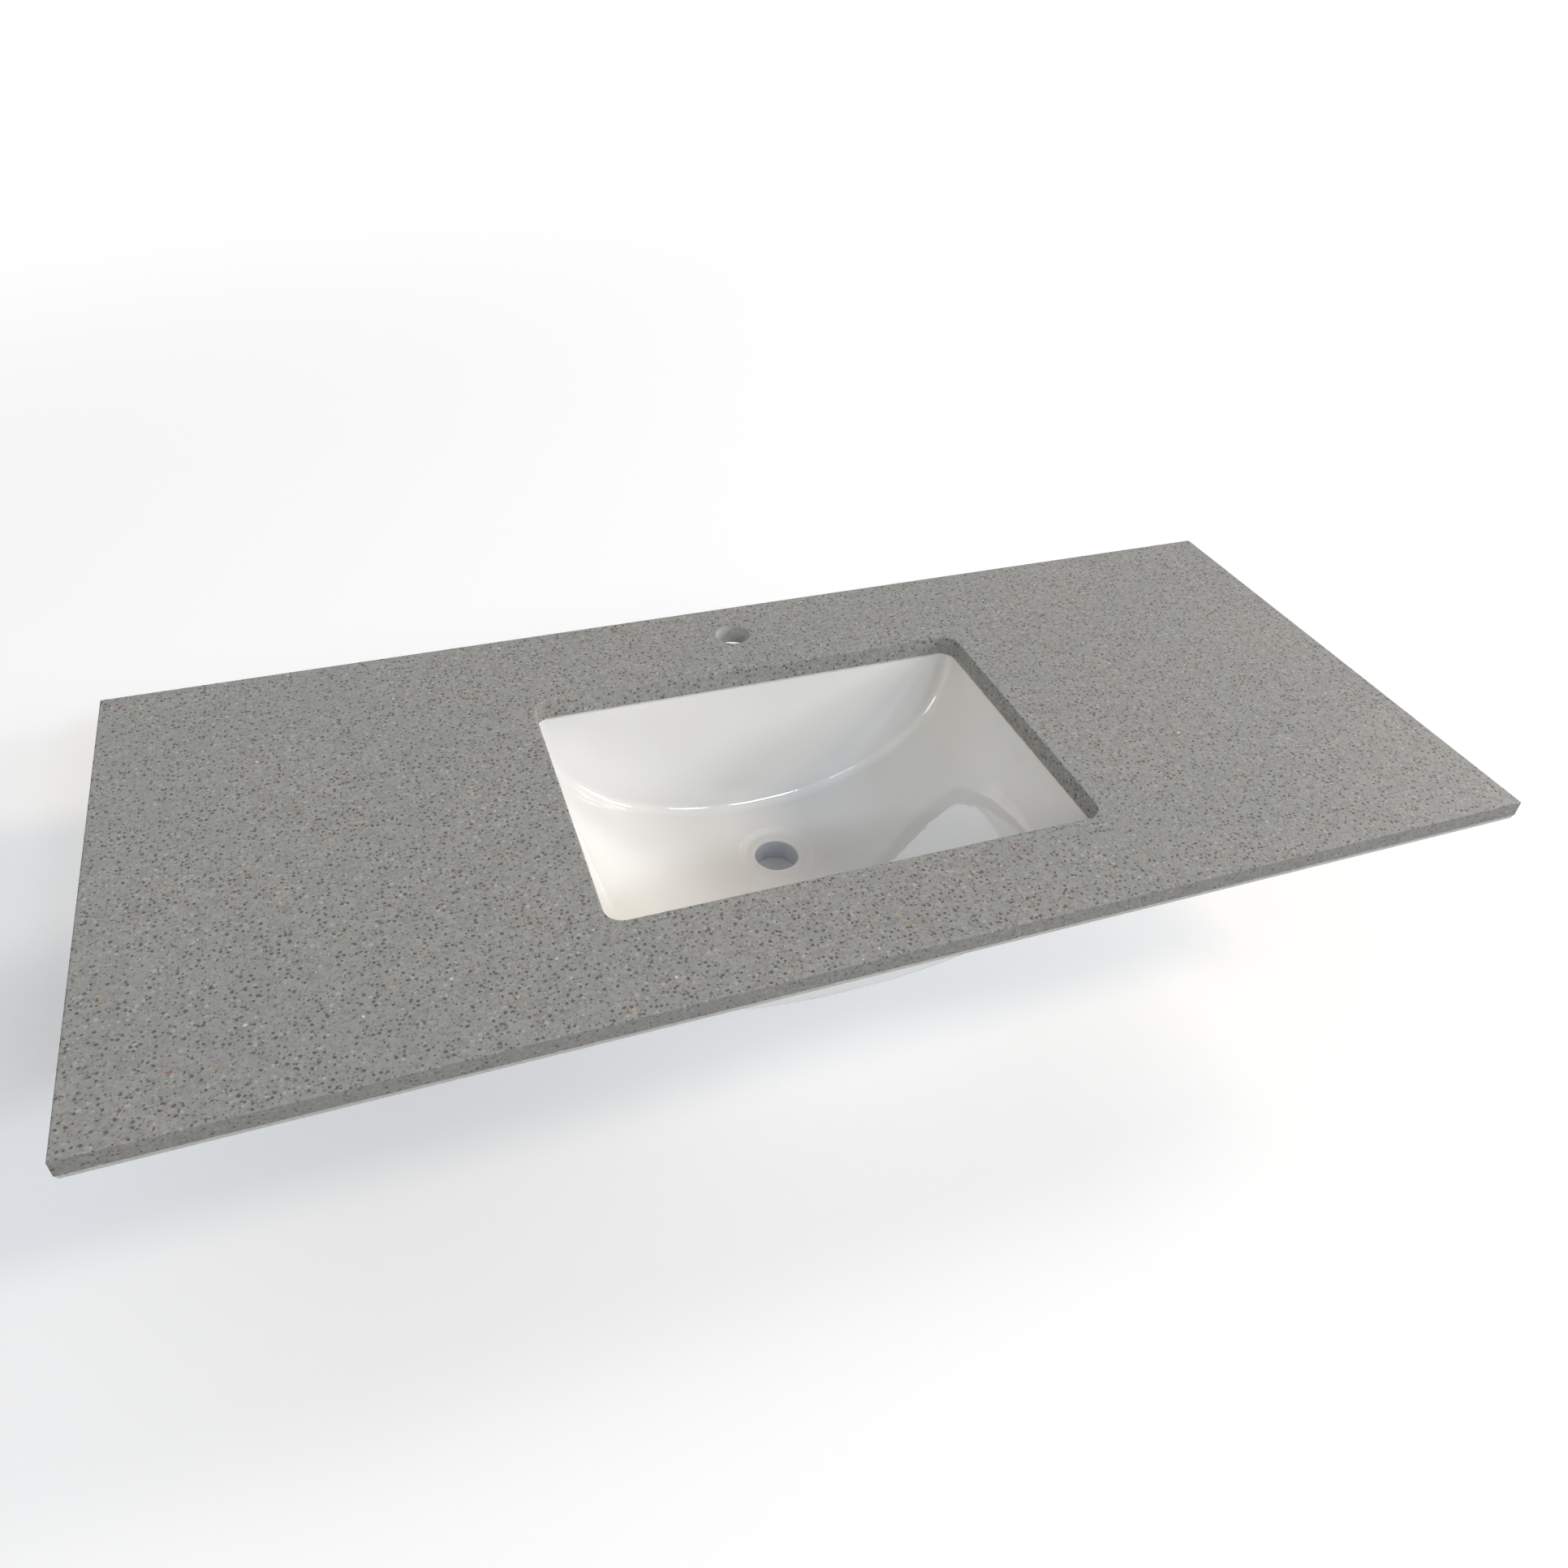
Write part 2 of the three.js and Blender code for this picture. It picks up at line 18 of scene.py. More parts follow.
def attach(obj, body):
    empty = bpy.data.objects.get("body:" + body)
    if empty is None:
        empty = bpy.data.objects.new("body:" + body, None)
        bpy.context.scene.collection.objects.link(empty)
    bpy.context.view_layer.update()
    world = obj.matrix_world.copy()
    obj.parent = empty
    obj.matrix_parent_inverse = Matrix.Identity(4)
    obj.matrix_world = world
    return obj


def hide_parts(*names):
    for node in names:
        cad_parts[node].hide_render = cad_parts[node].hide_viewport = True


LOG = logging.getLogger("washbasin")

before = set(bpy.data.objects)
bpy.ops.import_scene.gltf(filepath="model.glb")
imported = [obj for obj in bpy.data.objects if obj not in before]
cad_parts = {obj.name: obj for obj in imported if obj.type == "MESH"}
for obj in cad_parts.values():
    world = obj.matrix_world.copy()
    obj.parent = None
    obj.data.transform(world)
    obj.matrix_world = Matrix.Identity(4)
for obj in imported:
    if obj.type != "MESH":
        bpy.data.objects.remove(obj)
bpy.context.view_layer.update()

Triple = tuple[float, float, float]
Pair = tuple[float, float]
Levels = list[tuple[list[Pair], float]]
Tree = bpy.types.NodeTree
Socket = bpy.types.NodeSocket
Node = bpy.types.Node
Material = bpy.types.Material
Thing = bpy.types.Object
Mesh = bmesh.types.BMesh
Row = list[bmesh.types.BMVert]
Value = Union["Num", float]
Point = tuple["Num", "Num", "Num"]
Rule = Callable[["Num", "Num"], Point]

# Where things stand in plan, and the height of the slab's dressed arris
TOP_Y = -0.251
BOWL_Y = -0.261
WASTE_Y = -0.201
TAP_Y = -0.044
STUD_AXES: dict[str, Pair] = {
    "back_left": (-0.13, -0.0625),
    "back_right": (0.13, -0.0625),
    "front_left": (-0.13, -0.4595),
    "front_right": (0.13, -0.4595),
}
ARRIS_HEIGHT = 0.005

WHITE: Triple = (1.0, 1.0, 1.0)
BLACK: Triple = (0.0, 0.0, 0.0)
TURN = 2 * math.pi
QUARTER = math.pi / 2
# Points closer than this are one point
WELD = 1e-6


class Slot(Enum):
    """The material slots of the record that the pieces take their finish from."""

    STONE = "stone"
    CHINA = "china"
    SEALANT = "sealant"
    BRASS = "anchor_brass"
    ZINC = "zinc_steel"
    CLIP = "clip_steel"


class Solver(Enum):
    """How a Geometry Nodes boolean is worked out."""

    MANIFOLD = "MANIFOLD"
    EXACT = "EXACT"


# Numbers of a node tree, written as ordinary sums


def feed(tree: Tree, socket: Socket, value: object) -> None:
    """Sets a socket, or links it to what another node gives.

    Args:
        tree: The tree that holds the socket.
        socket: The input to feed.
        value: A number, a colour, a socket or a Num.
    """
    if isinstance(value, Num):
        value = value.socket
    if isinstance(value, Socket):
        tree.links.new(value, socket)
    else:
        socket.default_value = value


@dataclass(frozen=True)
class Num:
    """A number that a node tree works out, which sums and functions can be written with."""

    tree: Tree
    socket: Socket

    def apply(self, operation: str, *others: Value) -> "Num":
        """What a Math node gives for this number and others."""
        return math_node(self.tree, operation, self, *others)

    def __add__(self, other: Value) -> "Num":
        """The sum."""
        return self.apply("ADD", other)

    __radd__ = __add__

    def __sub__(self, other: Value) -> "Num":
        """The difference."""
        return self.apply("SUBTRACT", other)

    def __rsub__(self, other: Value) -> "Num":
        """The difference from a plain number."""
        return math_node(self.tree, "SUBTRACT", other, self)

    def __mul__(self, other: Value) -> "Num":
        """The product."""
        return self.apply("MULTIPLY", other)

    __rmul__ = __mul__

    def __truediv__(self, other: Value) -> "Num":
        """The quotient."""
        return self.apply("DIVIDE", other)

    def __rtruediv__(self, other: Value) -> "Num":
        """A plain number over this one."""
        return math_node(self.tree, "DIVIDE", other, self)

    def __pow__(self, other: Value) -> "Num":
        """The power."""
        return self.apply("POWER", other)

    def __neg__(self) -> "Num":
        """The negative."""
        return self.apply("MULTIPLY", -1.0)

    def sine(self) -> "Num":
        """The sine."""
        return self.apply("SINE")

    def cosine(self) -> "Num":
        """The cosine."""
        return self.apply("COSINE")

    def tangent(self) -> "Num":
        """The tangent."""
        return self.apply("TANGENT")

    def size(self) -> "Num":
        """The absolute value."""
        return self.apply("ABSOLUTE")

    def sign(self) -> "Num":
        """Minus one, zero or one."""
        return self.apply("SIGN")

    def floor(self) -> "Num":
        """The whole number below."""
        return self.apply("FLOOR")

    def root(self) -> "Num":
        """The square root."""
        return self.apply("SQRT")

    def remainder(self, other: Value) -> "Num":
        """What is left after a floored division."""
        return self.apply("FLOORED_MODULO", other)

    def at_least(self, other: Value) -> "Num":
        """The larger of two numbers."""
        return self.apply("MAXIMUM", other)

    def at_most(self, other: Value) -> "Num":
        """The smaller of two numbers."""
        return self.apply("MINIMUM", other)

    def within(self, low: Value, high: Value) -> "Num":
        """The number, held between two others."""
        return self.at_least(low).at_most(high)

    def over(self, limit: Value) -> "Num":
        """One where the number is greater than the limit, and otherwise zero."""
        return self.apply("GREATER_THAN", limit)

    def rising(self, start: Value, end: Value) -> "Num":
        """A soft step from zero at the start to one at the end."""
        share = ((self - start) / (end - start)).within(0.0, 1.0)
        return share * share * (3.0 - 2.0 * share)

    def towards(self, other: Value, share: Value) -> "Num":
        """The number, moved a share of the way to another."""
        return self + (other - self) * share


def math_node(tree: Tree, operation: str, *operands: Value) -> Num:
    """Adds a Math node to a shader or geometry tree.

    Args:
        tree: The tree.
        operation: The node's operation.
        operands: Its inputs, in order.

    Returns:
        The node's result.
    """
    node = tree.nodes.new("ShaderNodeMath")
    node.operation = operation
    for place, value in enumerate(operands):
        feed(tree, node.inputs[place], value)
    return Num(tree, node.outputs[0])


def away(x: Num, y: Num) -> Num:
    """How far a place is from zero."""
    return (x * x + y * y).root()


def along(step: Num, values: Sequence[Value]) -> Value:
    """A value that runs through a list, one entry for each whole step.

    Args:
        step: Where in the list, from zero.
        values: The entries.

    Returns:
        The value, with straight stretches between the entries.
    """
    result: Value = values[0]
    for place in range(len(values) - 1):
        rise = values[place + 1] - values[place]
        if not isinstance(rise, Num) and rise == 0:
            continue
        result = (step - float(place)).within(0.0, 1.0) * rise + result
    return result


# Geometry Nodes


class ShapeTree:
    """A Geometry Nodes tree with named inputs, which gives one finished mesh."""

    def __init__(self, name: str, sizes: dict[str, float]) -> None:
        """Makes the tree and an input for each size.

        Args:
            name: The tree's name.
            sizes: The inputs' names and values.
        """
        self.tree = bpy.data.node_groups.new(name, "GeometryNodeTree")
        self.sizes = sizes
        for size, value in sizes.items():
            socket = self.tree.interface.new_socket(
                name=size, in_out="INPUT", socket_type="NodeSocketFloat"
            )
            socket.default_value = value
        self.tree.interface.new_socket(
            name="Mesh", in_out="OUTPUT", socket_type="NodeSocketGeometry"
        )
        self.group = self.tree.nodes.new("NodeGroupInput")

    def size(self, name: str) -> Num:
        """The named input, as a number."""
        return Num(self.tree, self.group.outputs[name])

    def node(self, kind: str, **inputs: object) -> Node:
        """Adds a node and feeds its inputs.

        Args:
            kind: The node's type.
            inputs: Values by input name, with underscores for spaces.

        Returns:
            The node.
        """
        node = self.tree.nodes.new(kind)
        for name, value in inputs.items():
            feed(self.tree, node.inputs[name.replace("_", " ")], value)
        return node

    def counts(self, down: int) -> tuple[Num, Num]:
        """Each point's line in a grid and its place in the line, which has so many faces."""
        index = Num(self.tree, self.node("GeometryNodeInputIndex").outputs[0])
        row = ((index + 0.5) / float(down + 1)).floor()
        return row, index - row * float(down + 1)

    def grid(self, across: int, down: int, place: Rule) -> Socket:
        """A grid of faces whose points are put in place by a formula.

        Args:
            across: The number of faces one way.
            down: The number of faces the other way.
            place: Gives X, Y and Z from the two counts of a point.

        Returns:
            The grid's geometry.
        """
        flat = self.node("GeometryNodeMeshGrid", Vertices_X=across + 1, Vertices_Y=down + 1)
        x, y, z = place(*self.counts(down))
        position = self.node("ShaderNodeCombineXYZ", X=x, Y=y, Z=z).outputs[0]
        return self.node(
            "GeometryNodeSetPosition", Geometry=flat.outputs["Mesh"], Position=position
        ).outputs[0]

    def turned(
        self,
        profile: Sequence[Pair],
        sides: int,
        x: Value,
        y: Value,
        ripple: Callable[[Num, Num], Num] | None = None,
    ) -> Socket:
        """A solid turned about an upright axis.

        Args:
            profile: Radius and height from the top down, on the axis at both ends or closed.
            sides: The number of faces round.
            x: Where the axis stands.
            y: Where the axis stands.
            ripple: Gives what is added to the radius, from the angle and the profile's count.

        Returns:
            The closed mesh.
        """

        def place(i: Num, j: Num) -> Point:
            """A point of the turned surface."""
            angle = i * (TURN / sides)
            radius = along(j, [point[0] for point in profile])
            if ripple is not None:
                radius = radius + ripple(angle, j)
            height = along(j, [point[1] for point in profile])
            return angle.cosine() * radius + x, angle.sine() * radius + y, height

        return self.turned_over(self.welded(self.grid(sides, len(profile) - 1, place)))

    def welded(self, *parts: Socket) -> Socket:
        """Geometry joined into one, with the points that meet made one point."""
        joined = self.tree.nodes.new("GeometryNodeJoinGeometry")
        for part in parts:
            self.tree.links.new(part, joined.inputs[0])
        return self.node(
            "GeometryNodeMergeByDistance", Geometry=joined.outputs[0], Distance=WELD
        ).outputs[0]

    def turned_over(self, part: Socket) -> Socket:
        """The geometry with its faces the other way round."""
        return self.node("GeometryNodeFlipFaces", Mesh=part).outputs[0]

    def boolean(self, operation: str, *tools: Socket, base: Socket | None = None) -> Socket:
        """Solids worked into one.

        Args:
            operation: Whether they are joined or cut from a base.
            tools: The solids.
            base: What they are cut from.

        Returns:
            The one solid.
        """
        node = self.tree.nodes.new("GeometryNodeMeshBoolean")
        node.operation = operation
        node.solver = Solver.MANIFOLD.value
        if base is not None:
            self.tree.links.new(base, node.inputs["Mesh 1"])
        for tool in tools:
            self.tree.links.new(tool, node.inputs["Mesh 2"])
        return node.outputs["Mesh"]

    def mesh(self, result: Socket, material: Material, name: str) -> Thing:
        """Ends the tree and turns what it gives into a plain mesh object.

        Args:
            result: The finished geometry.
            material: The finish.
            name: The new object's name.

        Returns:
            An object at the origin, in the scene, without modifiers.
        """
        real = self.node("GeometryNodeRealizeInstances", Geometry=result)
        dressed = self.node(
            "GeometryNodeSetMaterial", Geometry=real.outputs[0], Material=material
        )
        output = self.tree.nodes.new("NodeGroupOutput")
        self.tree.links.new(dressed.outputs[0], output.inputs["Mesh"])
        carrier = linked(bpy.data.objects.new(name, bpy.data.meshes.new(name)))
        modifier = carrier.modifiers.new("shape", "NODES")
        modifier.node_group = self.tree
        for item in self.tree.interface.items_tree:
            if item.item_type == "SOCKET" and item.in_out == "INPUT":
                modifier[item.identifier] = self.sizes[item.name]
        graph = bpy.context.evaluated_depsgraph_get()
        carrier.data = bpy.data.meshes.new_from_object(carrier.evaluated_get(graph))
        carrier.data.name = name
        carrier.modifiers.remove(modifier)
        return carrier


def named(owner: object, *names: str) -> dict[str, float]:
    """The sizes of a piece that go by the given names, as inputs for its tree."""
    return {name: getattr(owner, name.lower().replace(" ", "_")) for name in names}


# Meshes


def linked(piece: Thing) -> Thing:
    """Puts an object in the scene and gives it back."""
    bpy.context.scene.collection.objects.link(piece)
    return piece


def arc(centre: Pair, radii: Pair, start: float, end: float, steps: int) -> list[Pair]:
    """Points along an arc.

    Args:
        centre: Its centre.
        radii: Its radius along each axis.
        start: Its first angle, in quarter turns.
        end: Its last angle, in quarter turns.
        steps: The stretches it has.

    Returns:
        The points, with both ends.
    """
    angles = [(start + (end - start) * step / steps) * QUARTER for step in range(steps + 1)]
    return [
        (centre[0] + radii[0] * math.cos(angle), centre[1] + radii[1] * math.sin(angle))
        for angle in angles
    ]


def rectangle(half: Pair, radius: float, steps: int, y: float = 0.0) -> list[Pair]:
    """Points round the corners of a rectangle, anticlockwise.

    Args:
        half: Half its length and half its width.
        radius: The radius of its corners.
        steps: The stretches of a corner.
        y: The middle of its width.

    Returns:
        The points.
    """
    points = []
    for turn, (side, end) in enumerate(((1, 1), (-1, 1), (-1, -1), (1, -1))):
        centre = (side * (half[0] - radius), end * (half[1] - radius) + y)
        points += arc(centre, (radius, radius), turn, turn + 1, steps)
    return points


def mesh_object(name: str, mesh: Mesh) -> Thing:
    """An object in the scene from a bmesh, which is freed."""
    data = bpy.data.meshes.new(name)
    mesh.normal_update()
    mesh.to_mesh(data)
    mesh.free()
    return linked(bpy.data.objects.new(name, data))


def dress(piece: Thing, material: Material) -> None:
    """Gives an object one material."""
    piece.data.materials.clear()
    piece.data.materials.append(material)


def smooth(piece: Thing, crease: float) -> None:
    """Shades a piece smoothly, apart from the edges that turn by more than so many degrees."""
    piece.data.shade_smooth()
    piece.data.set_sharp_from_angle(angle=math.radians(crease))


def with_modifiers(piece: Thing) -> None:
    """Turns what an object's modifiers make into its plain mesh."""
    graph = bpy.context.evaluated_depsgraph_get()
    made = bpy.data.meshes.new_from_object(piece.evaluated_get(graph))
    piece.modifiers.clear()
    piece.data = made


def weighted(piece: Thing) -> None:
    """Lets the large faces set the shading at a piece's rounded edges."""
    modifier = piece.modifiers.new("weighted", "WEIGHTED_NORMAL")
    modifier.keep_sharp = True
    with_modifiers(piece)


def outward(piece: Thing) -> None:
    """Turns a closed piece's faces outwards."""
    mesh = bmesh.new()
    mesh.from_mesh(piece.data)
    bmesh.ops.remove_doubles(mesh, verts=mesh.verts, dist=WELD)
    bmesh.ops.recalc_face_normals(mesh, faces=mesh.faces)
    mesh.to_mesh(piece.data)
    mesh.free()


def join_rows(mesh: Mesh, pairs: Iterable[tuple[Row, Row]]) -> list[bmesh.types.BMFace]:
    """The faces between pairs of closed rows of points."""
    faces = []
    for one, other in pairs:
        for place in range(len(one)):
            after = (place + 1) % len(one)
            faces.append(mesh.faces.new((one[place], one[after], other[after], other[place])))
    return faces


def lofted(mesh: Mesh, rings: Sequence[Sequence[Triple]], closed: bool) -> None:
    """Adds a solid through a row of rings of points.

    Args:
        mesh: The mesh to add to.
        rings: The rings, of equal count.
        closed: Whether the last ring joins the first; otherwise both ends are capped.
    """
    rows = [[mesh.verts.new(point) for point in ring] for ring in rings]
    faces = join_rows(mesh, zip(rows, rows[1:] + (rows[:1] if closed else [])))
    if not closed:
        faces += [mesh.faces.new(rows[0]), mesh.faces.new(rows[-1])]
    bmesh.ops.recalc_face_normals(mesh, faces=faces)


def report(piece: Thing, body: str, slot: Slot, *nodes: str) -> None:
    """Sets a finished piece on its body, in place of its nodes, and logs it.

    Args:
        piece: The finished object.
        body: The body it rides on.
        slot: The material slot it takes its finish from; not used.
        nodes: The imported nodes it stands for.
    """
    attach(piece, body)
    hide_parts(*nodes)
    LOG.info("%s: %d faces on %s", piece.name, len(piece.data.polygons), body)


# Finishes


class Paint:
    """A material's node tree, with short ways to add the textures that the finishes share."""

    def __init__(self, name: str) -> None:
        """Makes an empty material of the given name with one Principled shader."""
        self.material = bpy.data.materials.new(name)
        self.material.use_nodes = True
        self.tree = self.material.node_tree
        self.tree.nodes.clear()
        self.shader = self.tree.nodes.new("ShaderNodeBsdfPrincipled")
        output = self.tree.nodes.new("ShaderNodeOutputMaterial")
        self.tree.links.new(self.shader.outputs[0], output.inputs["Surface"])
        coordinates = self.tree.nodes.new("ShaderNodeTexCoord")
        self.place = coordinates.outputs["Object"]
        self.normal = coordinates.outputs["Normal"]

    def set(self, **inputs: object) -> None:
        """Sets or links the shader's inputs, by name, with underscores for spaces."""
        for name, value in inputs.items():
            feed(self.tree, self.shader.inputs[name.replace("_", " ")], value)

    def parts(self, vector: Socket) -> Point:
        """The three numbers of a vector."""
        node = self.tree.nodes.new("ShaderNodeSeparateXYZ")
        feed(self.tree, node.inputs[0], vector)
        x, y, z = (Num(self.tree, socket) for socket in node.outputs)
        return x, y, z

    def noise(self, scale: float, detail: float, place: Socket | None = None) -> Node:
        """A noise texture whose scale is in cycles for each metre."""
        node = self.tree.nodes.new("ShaderNodeTexNoise")
        feed(self.tree, node.inputs["Vector"], place or self.place)
        node.inputs["Scale"].default_value = scale
        node.inputs["Detail"].default_value = detail
        return node

    def grey(self, scale: float, detail: float = 2.0) -> Num:
        """A noise from zero to one."""
        return Num(self.tree, self.noise(scale, detail).outputs[0])

    def shifted(self, reach: float, scale: float) -> Socket:
        """The object's coordinates pushed about by a noise.

        Args:
            reach: How far a point may move.
            scale: The noise's cycles for each metre.

        Returns:
            The new coordinates.
        """
        noise = self.noise(scale, 1.0)
        centred = self.tree.nodes.new("ShaderNodeVectorMath")
        centred.operation = "SUBTRACT"
        feed(self.tree, centred.inputs[0], noise.outputs["Color"])
        centred.inputs[1].default_value = (0.5, 0.5, 0.5)
        added = self.tree.nodes.new("ShaderNodeVectorMath")
        added.operation = "MULTIPLY_ADD"
        feed(self.tree, added.inputs[0], centred.outputs[0])
        added.inputs[1].default_value = (2 * reach,) * 3
        feed(self.tree, added.inputs[2], self.place)
        return added.outputs[0]

    def cells(self, width: float, place: Socket) -> tuple[Num, Point]:
        """Cells of a given width.

        Args:
            width: The mean width of a cell.
            place: The coordinates.

        Returns:
            The distance from the cell's point in widths, and the cell's three random numbers.
        """
        node = self.tree.nodes.new("ShaderNodeTexVoronoi")
        feed(self.tree, node.inputs["Vector"], place)
        node.inputs["Scale"].default_value = 1.0 / width
        return Num(self.tree, node.outputs["Distance"]), self.parts(node.outputs["Color"])

    def mix(self, share: Value, first: Socket | Triple, second: Socket | Triple) -> Socket:
        """A colour between two others.

        Args:
            share: Zero for the first colour and one for the second.
            first: A colour or a socket.
            second: A colour or a socket.

        Returns:
            The mixed colour.
        """
        node = self.tree.nodes.new("ShaderNodeMix")
        node.data_type = "RGBA"
        feed(self.tree, node.inputs["Factor"], share)
        for name, value in (("A", first), ("B", second)):
            socket = next(s for s in node.inputs if s.name == name and s.type == "RGBA")
            feed(self.tree, socket, value if isinstance(value, Socket) else (*value, 1.0))
        return next(s for s in node.outputs if s.type == "RGBA")

    def bump(self, height: Num, depth: float) -> Socket:
        """A normal bent by a height from zero to one.

        Args:
            height: The height.
            depth: What a height of one stands for, in metres.

        Returns:
            The normal.
        """
        node = self.tree.nodes.new("ShaderNodeBump")
        node.inputs["Distance"].default_value = depth
        feed(self.tree, node.inputs["Height"], height)
        return node.outputs[0]


def linear(red: float, green: float, blue: float) -> Triple:
    """A screen colour from 0 to 255, as the shader's numbers, by the screens' own curve."""
    shares = [value / 255.0 for value in (red, green, blue)]
    return tuple(s / 12.92 if s <= 0.04045 else ((s + 0.055) / 1.055) ** 2.4 for s in shares)


@dataclass(frozen=True)
class StoneFinish:
    """Honed engineered stone: a mosaic of grey sand full of dark grains, with a few chips."""

    sand_dark: Triple = linear(132, 130, 125)
    sand_pale: Triple = linear(172, 171, 167)
    cool: Triple = linear(143, 145, 145)
    grain: Triple = linear(88, 83, 75)
    fine_grain: Triple = linear(107, 103, 95)
    pale_grain: Triple = linear(186, 185, 181)
    ochre: Triple = linear(214, 168, 78)
    rust: Triple = linear(172, 74, 56)
    quartz: Triple = linear(240, 239, 234)
    # Paler cut stone for the arris and the tap hole's wall: partly its own unpolished tone, partly
    # painted light on faces in shade
    dressed: Triple = linear(204, 202, 198)
    underside: Triple = linear(172, 171, 169)
    # Painted shade on the slab's outer upright faces
    painted_side_shade: Triple = linear(104, 100, 93)
    sand_shares: Triple = (0.46, 0.26, 0.28)
    cloud_shares: Pair = (0.18, 0.2)
    # How much painted shade the outer upright faces take
    side_shade_share: float = 0.34
    arris_share: Pair = (0.3, 0.6)
    drilled_share: Pair = (0.16, 0.44)
    under_share: float = 0.35
    wide_sand: float = 2.1
    ragged: Pair = (0.0008, 420.0)
    grain_depth: float = 0.00004
    grain_span: Pair = (0.72, 1.22)
    chip_radius: float = 0.0008
    chip_span: Pair = (0.7, 1.2)
    arris_blend: float = 0.94
    arris_waver: float = 0.0012
    honed: Triple = (0.06, 0.5, 0.12)
    sawn: float = 0.72
    sand_width: float = 0.0023
    grain_width: float = 0.0043
    fine_grain_width: float = 0.0026
    chip_width: float = 0.0155
    rim_reach: Pair = (0.596, 0.256)
    drilled_radius: Pair = (0.0177, 0.0179)

    def sand(self, paint: Paint, place: Socket) -> Socket:
        """The ground: grains of sand in many greys, with faint clouds.

        Args:
            paint: The material's tree.
            place: The coordinates.

        Returns:
            The colour.
        """
        _, (shade, _, _) = paint.cells(self.sand_width, place)
        _, (wide_shade, _, _) = paint.cells(self.sand_width * self.wide_sand, place)
        fine = paint.grey(900.0, 2.0)
        narrow, wide, small = self.sand_shares
        level = shade * narrow + wide_shade * wide + fine.rising(0.3, 0.7) * small
        colour = paint.mix(level, self.sand_dark, self.sand_pale)
        cloud = paint.grey(46.0, 3.0).rising(0.36, 0.64) * self.cloud_shares[0]
        drift = paint.grey(6.0, 2.0).rising(0.35, 0.65) * self.cloud_shares[1]
        return paint.mix(cloud + drift, colour, self.cool)

    def grains(self, paint: Paint) -> tuple[Socket, Num]:
        """The ground with its grains and chips.

        Args:
            paint: The material's tree.

        Returns:
            The colour, and how deep the surface is sunk at the grains.
        """
        place = paint.shifted(*self.ragged)
        colour = self.sand(paint, place)
        sunk: Value = 0.0
        # Width, rarity, radius, tint and strength
        layers = (
            (self.grain_width * 1.2, 0.55, 0.30, self.pale_grain, 0.7),
            (self.fine_grain_width, 0.42, 0.36, self.fine_grain, 0.8),
            (self.grain_width, 0.24, 0.33, self.grain, 1.0),
        )
        for width, rarity, radius, tint, strength in layers:
            distance, (pick, girth, depth) = paint.cells(width, place)
            limit = girth * (0.5 * radius) + radius * 0.62
            spot = 1.0 - distance.rising(*(limit * share for share in self.grain_span))
            shown = spot * pick.over(rarity) * (depth * 0.55 + 0.45) * strength
            colour = paint.mix(shown, colour, tint)
            sunk = shown if isinstance(sunk, float) else sunk.at_least(shown)
        colour = self.chips(paint, colour, place)
        return colour, sunk

    def chips(self, paint: Paint, colour: Socket, place: Socket) -> Socket:
        """Adds the few chips of quartz, ochre and rust.

        Args:
            paint: The material's tree.
            colour: The colour so far.
            place: The coordinates.

        Returns:
            The colour with the chips.
        """
        # Width, rarity and tint
        for width, rarity, tint in (
            (self.chip_width, 0.82, self.quartz),
            (self.chip_width * 0.95, 0.66, self.ochre),
            (self.chip_width * 1.7, 0.74, self.rust),
        ):
            distance, (pick, girth, depth) = paint.cells(width, place)
            limit = (girth * self.chip_radius + self.chip_radius) / width
            spot = 1.0 - distance.rising(*(limit * share for share in self.chip_span))
            colour = paint.mix(spot * pick.over(rarity) * (depth * 0.6 + 0.4), colour, tint)
        return colour

    def make(self) -> Material:
        """The material."""
        paint = Paint("engineered_stone")
        colour, sunk = self.grains(paint)
        x, y, z = paint.parts(paint.place)
        _, _, facing = paint.parts(paint.normal)
        waver = (paint.grey(130.0, 3.0) - 0.5) * self.arris_waver
        outer = x.size().over(self.rim_reach[0]).at_least(
            (y - TOP_Y).size().over(self.rim_reach[1])
        )
        arris = outer * (1.0 - (z + waver).rising(ARRIS_HEIGHT * self.arris_blend, ARRIS_HEIGHT))
        upright = 1.0 - facing.size().rising(0.3, 0.8)
        # The outer upright faces above the arris, which take painted shade
        shaded_side = outer * upright * (1.0 - arris)
        drilled = (1.0 - away(x, y - TAP_Y).rising(*self.drilled_radius)) * upright
        under = (0.0 - facing).rising(0.7, 0.9)
        scuff = paint.grey(420.0, 4.0).rising(0.35, 0.75)
        # Painted shade: the outer upright faces are darkened as if less light reached them
        colour = paint.mix(shaded_side * self.side_shade_share, colour, self.painted_side_shade)
        # The arris and the tap hole's wall take the paler cut colour, partly their own tone and
        # partly painted light
        for part, (scuffed, even) in ((arris, self.arris_share), (drilled, self.drilled_share)):
            colour = paint.mix(part * (scuff * scuffed + even), colour, self.dressed)
        colour = paint.mix(under * self.under_share, colour, self.underside)
        patchy, even, pitted = self.honed
        rough = paint.grey(18.0, 2.0) * patchy + even + sunk * pitted
        rough = rough.at_least((arris + under).within(0.0, 1.0) * self.sawn)
        normal = paint.bump(1.0 - sunk, self.grain_depth)
        paint.set(Base_Color=colour, Roughness=rough, Normal=normal, Specular_IOR_Level=0.2)
        return paint.material


